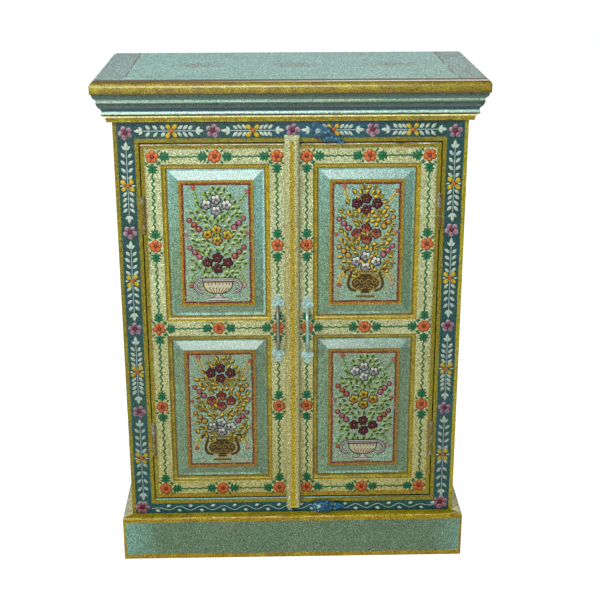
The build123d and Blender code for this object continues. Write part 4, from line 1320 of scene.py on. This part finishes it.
def picture(level, side):
    """A vase of flowers on the field of a panel. Urns and vases, with their colours, stand by turns."""
    drawing = Drawing()
    (low_x, high_x), (low_z, high_z) = panel_opening[level]
    middle = side * (low_x + high_x) / 2
    inset = field_inset + field_gold_band + field_red_band
    foot = low_z + inset
    stretch = (high_z - low_z - 2 * inset) / picture_height

    def place(points):
        """Points set out about the middle of the field's foot, as places on the front."""
        return [(middle + u, foot + w) for u, w in points]

    if (level == "upper") == (side < 0):
        white_urn(drawing, place)
        groups, swags = (WHITE, YELLOW, MAROON), (RED_SWAG, PINK_SWAG, PINK_SWAG, RED_SWAG)
        leaves = ("leaf_edge", "leaf_lime", "leaf_deep")
        drops = ("petal_red_orange", "petal_rose", "petal_red_orange", "petal_dusty_pink")
    else:
        gold_vase(drawing, place)
        groups, swags = (MAROON, RED, WHITE), (PINK_SWAG, GOLD_SWAG, GOLD_SWAG, PINK_SWAG)
        leaves = ("leaf_olive", "leaf_yellow", "leaf_brown")
        drops = ("petal_rose", "petal_red_orange", "petal_red_orange", "petal_dusty_pink")
    bouquet(drawing, middle, foot, stretch, groups, swags, *leaves, drops)
    return drawing


def broken_line(drawing, paint, place, start, end, lengths, widths, gaps, kept):
    """A thin line rubbed away in places. The place says where a length along and a length aside lead."""
    at = start
    while at < end:
        length = chance.uniform(*lengths)
        if chance.random() < kept:
            width = chance.uniform(*widths)
            points = [place(at, 0.0), place(at + length, chance.uniform(-0.4, 0.4))]
            drawing.line(paint, width, points, 0, 0.05)
        at += length + chance.uniform(*gaps)


def top_drawing():
    """The lid's faint, rubbed decoration: three loose wreaths and thin lines along three edges."""
    drawing = Drawing()
    line_half, line_front = 188.0, -74.0
    for x in (-112.0, 0.0, 119.0):
        for ring, count in ((6.0, 8), (14.0, 14), (22.0, 18), (30.0, 16)):
            for i in range(count):
                angle = i * math.tau / count + chance.uniform(-0.2, 0.2)
                at = (x + ring * math.cos(angle), 8.0 + 0.62 * ring * math.sin(angle))
                shade = chance.choice(("worn_rose", "worn_red", "worn_green", "worn_rose"))
                turn = chance.uniform(-0.3, 0.3)
                drawing.dab(shade, "lens", at, turn, about(5.0, 0.3), 3.2, 0, 0.05)
    for x in (-line_half, line_half):

        def upright(along, aside):
            return x + aside, along

        broken_line(drawing, "worn_red", upright, -72.0, 112.0, (3.0, 9.0), (1.2, 2.2), (0.2, 1.4), 0.8)

    def crosswise(along, aside):
        return along, line_front + aside

    broken_line(drawing, "worn_slate", crosswise, -186.0, 186.0, (4.0, 12.0), (1.4, 2.2), (0.5, 3.0), 0.75)
    return drawing


def brush_paint(name, colour):
    """Poster paint laid with one stroke of a soft brush: streaky, satin under the varnish, and painted darker
    lower down on the cabinet as painted shade."""
    streak_size = 1.8
    material, tree, shader = new_material(name)
    shader.inputs["Roughness"].default_value = 0.32
    drawn, _ = hand_drawn(tree)
    thin_varnish(tree, drawn, shader, 0.28)
    streaks = {"Vector": drawn, "Scale": 1 / streak_size, "Detail": 3.0, "Roughness": 0.65}
    streaks = add(tree, "ShaderNodeTexNoise", streaks).outputs["Fac"]
    tone = {"Value": streaks, "From Min": 0.3, "From Max": 0.7, "To Min": 0.78, "To Max": 1.2}
    tone = add(tree, "ShaderNodeMapRange", tone)
    height = add(tree, "ShaderNodeSeparateXYZ", {0: drawn}).outputs["Z"]
    # painted shade: the brushwork darkens lower down on the cabinet
    darker_below = {"Value": height, "From Min": 190.0, "From Max": 420.0, "To Min": 0.68, "To Max": 0.96}
    darker_below = add(tree, "ShaderNodeMapRange", darker_below)
    tone = add(tree, "ShaderNodeMath", {0: tone, 1: darker_below}, operation="MULTIPLY")
    shown = add(tree, "ShaderNodeVectorMath", {0: linear(colour)[:3], "Scale": tone}, operation="SCALE")
    tree.links.new(shown.outputs[0], shader.inputs["Base Color"])
    return material


paints = {
    "petal_pink": "#744C5E",
    "petal_pale_pink": "#8B757E",
    "petal_rose": "#84464C",
    "petal_dusty_pink": "#8E6D6B",
    "petal_yellow": "#94841E",
    "petal_marigold": "#96841C",
    "petal_honey": "#927018",
    "petal_amber": "#7E5A14",
    "petal_orange": "#954A1A",
    "petal_light_orange": "#A0623C",
    "petal_red_orange": "#823C26",
    "petal_red": "#5E2218",
    "heart_dark_red": "#5C1812",
    "petal_brick": "#7E4630",
    "petal_maroon": "#42101A",
    "petal_white": "#A2A69C",
    "petal_lilac": "#6C6E76",
    "heart_red": "#58111C",
    "leaf_white": "#8F9E90",
    "leaf_vein": "#78886D",
    "leaf_pale_green": "#A4B0A0",
    "stem_white": "#8E9E98",
    "leaf_green": "#0A5130",
    "vine_green": "#12502B",
    "leaf_shade": "#072A1C",
    "leaf_lime": "#65802E",
    "leaf_olive": "#66662E",
    "leaf_brown": "#4A3A10",
    "leaf_edge": "#8CA072",
    "leaf_yellow": "#B08E1C",
    "leaf_deep": "#12300F",
    "outline_dark": "#1C090E",
    "outline_brown": "#3F2E0C",
    "outline_maroon": "#320F12",
    "outline_plum": "#20141F",
    "urn_cream": "#9A936E",
    "urn_white": "#A3A194",
    "urn_pink_white": "#98918C",
    "vase_gold": "#806927",
    "vase_brown": "#33270A",
    "worn_rose": "#84685F",
    "worn_green": "#4C6A58",
    "worn_red": "#6A3A32",
    "worn_slate": "#36524F",
}
paints = {name: brush_paint(name, colour) for name, colour in paints.items()}

front = front_face(front_y)
lid = Matrix.Translation((0, 0, top_height * MM))
# the flowers of each door: X of its two stiles, then of the middle of each rail from the top down
door_flowers = {
    "left": ((-160.0, -16.6), (-88.0, -88.0, -88.0)),
    "right": ((160.0, 17.8), (91.0, 88.0, 87.0)),
}
lay(frame_drawing(), "frame_flowers", "cabinet", front)
for door in SIDES:
    drawing = door_drawing(*door_flowers[door])
    lay(drawing, f"{door}_door_flowers", f"{door}_door", front)
for door, side in zip(SIDES, (-1, 1)):
    for level in LEVELS:
        lay(picture(level, side), f"{door}_{level}_picture", f"{door}_door", front)
lay(top_drawing(), "top_wreaths", "cabinet", lid)


# ---------------------------------------------------------------- room, light and camera
def soft_box(name, place, target, width, height, power):
    """A rectangle of white light that shines from a place towards a target."""
    lamp = bpy.data.lights.new(name, "AREA")
    lamp.shape = "RECTANGLE"
    lamp.size, lamp.size_y = width, height
    lamp.energy = power
    light = bpy.data.objects.new(name, lamp)
    light.location = place
    light.rotation_euler = (Vector(target) - Vector(place)).to_track_quat("-Z", "Y").to_euler()
    bpy.context.scene.collection.objects.link(light)


def white_floor():
    """A wide white floor that runs past the view. It glows white behind and under the cabinet as painted
    light, and its glow falls away towards the camera as painted shade.
    """
    reach = 14.0
    mesh = bpy.data.meshes.new("floor")
    corners = [(-reach, -reach, 0), (reach, -reach, 0), (reach, reach, 0), (-reach, reach, 0)]
    mesh.from_pydata(corners, [], [(0, 1, 2, 3)])
    floor = bpy.data.objects.new("floor", mesh)
    bpy.context.scene.collection.objects.link(floor)
    material, tree, shader = new_material("white_sweep")
    shader.inputs["Base Color"].default_value = linear("#6E6E6E")
    shader.inputs["Roughness"].default_value = 0.9
    shader.inputs["Emission Color"].default_value = linear("#FFFFFF")
    place = add(tree, "ShaderNodeTexCoord").outputs["Object"]
    back = add(tree, "ShaderNodeSeparateXYZ", {0: place}).outputs["Y"]
    glow = {"Value": back, "From Min": -0.75, "From Max": -0.4, "To Min": 0.1, "To Max": 0.96}
    glow = add(tree, "ShaderNodeMapRange", glow)
    tree.links.new(glow.outputs[0], shader.inputs["Emission Strength"])
    mesh.materials.append(material)


white_floor()
soft_box("key_box", (-0.9, -1.15, 1.45), (0, 0, 0.3), 0.5, 0.5, 34)
soft_box("flash_box", (-0.12, -1.62, 0.98), (0, 0, 0.4), 0.6, 0.66, 24)
soft_box("back_box", (0.5, 1.6, 2.6), (0, 0, 0.3), 1.2, 1.2, 50)

world = bpy.data.worlds.new("studio")
world.use_nodes = True
sky = world.node_tree.nodes["Background"]
sky.inputs["Color"].default_value = linear("#FFFFFF")
sky.inputs["Strength"].default_value = 0.25
bpy.context.scene.world = world
bpy.context.scene.view_settings.view_transform = "Standard"

camera_data = bpy.data.cameras.new("camera")
camera_data.sensor_width = 36.0
camera_data.lens = 73.18
camera = bpy.data.objects.new("camera", camera_data)
bpy.context.scene.collection.objects.link(camera)
yaw, pitch, roll = 0.0243472, 0.3397315, -0.00208909
ahead = Vector((math.sin(yaw) * math.cos(pitch), math.cos(yaw) * math.cos(pitch), -math.sin(pitch)))
sideways = Vector((math.cos(yaw), -math.sin(yaw), 0.0))
upward = sideways.cross(ahead)
rolled_side = math.cos(roll) * sideways + math.sin(roll) * upward
rolled_up = math.cos(roll) * upward - math.sin(roll) * sideways
aim = Matrix((rolled_side, rolled_up, -ahead)).transposed().to_4x4()
camera.matrix_world = Matrix.Translation((-0.0238, -1.47075, 0.83228)) @ aim
bpy.context.scene.camera = camera
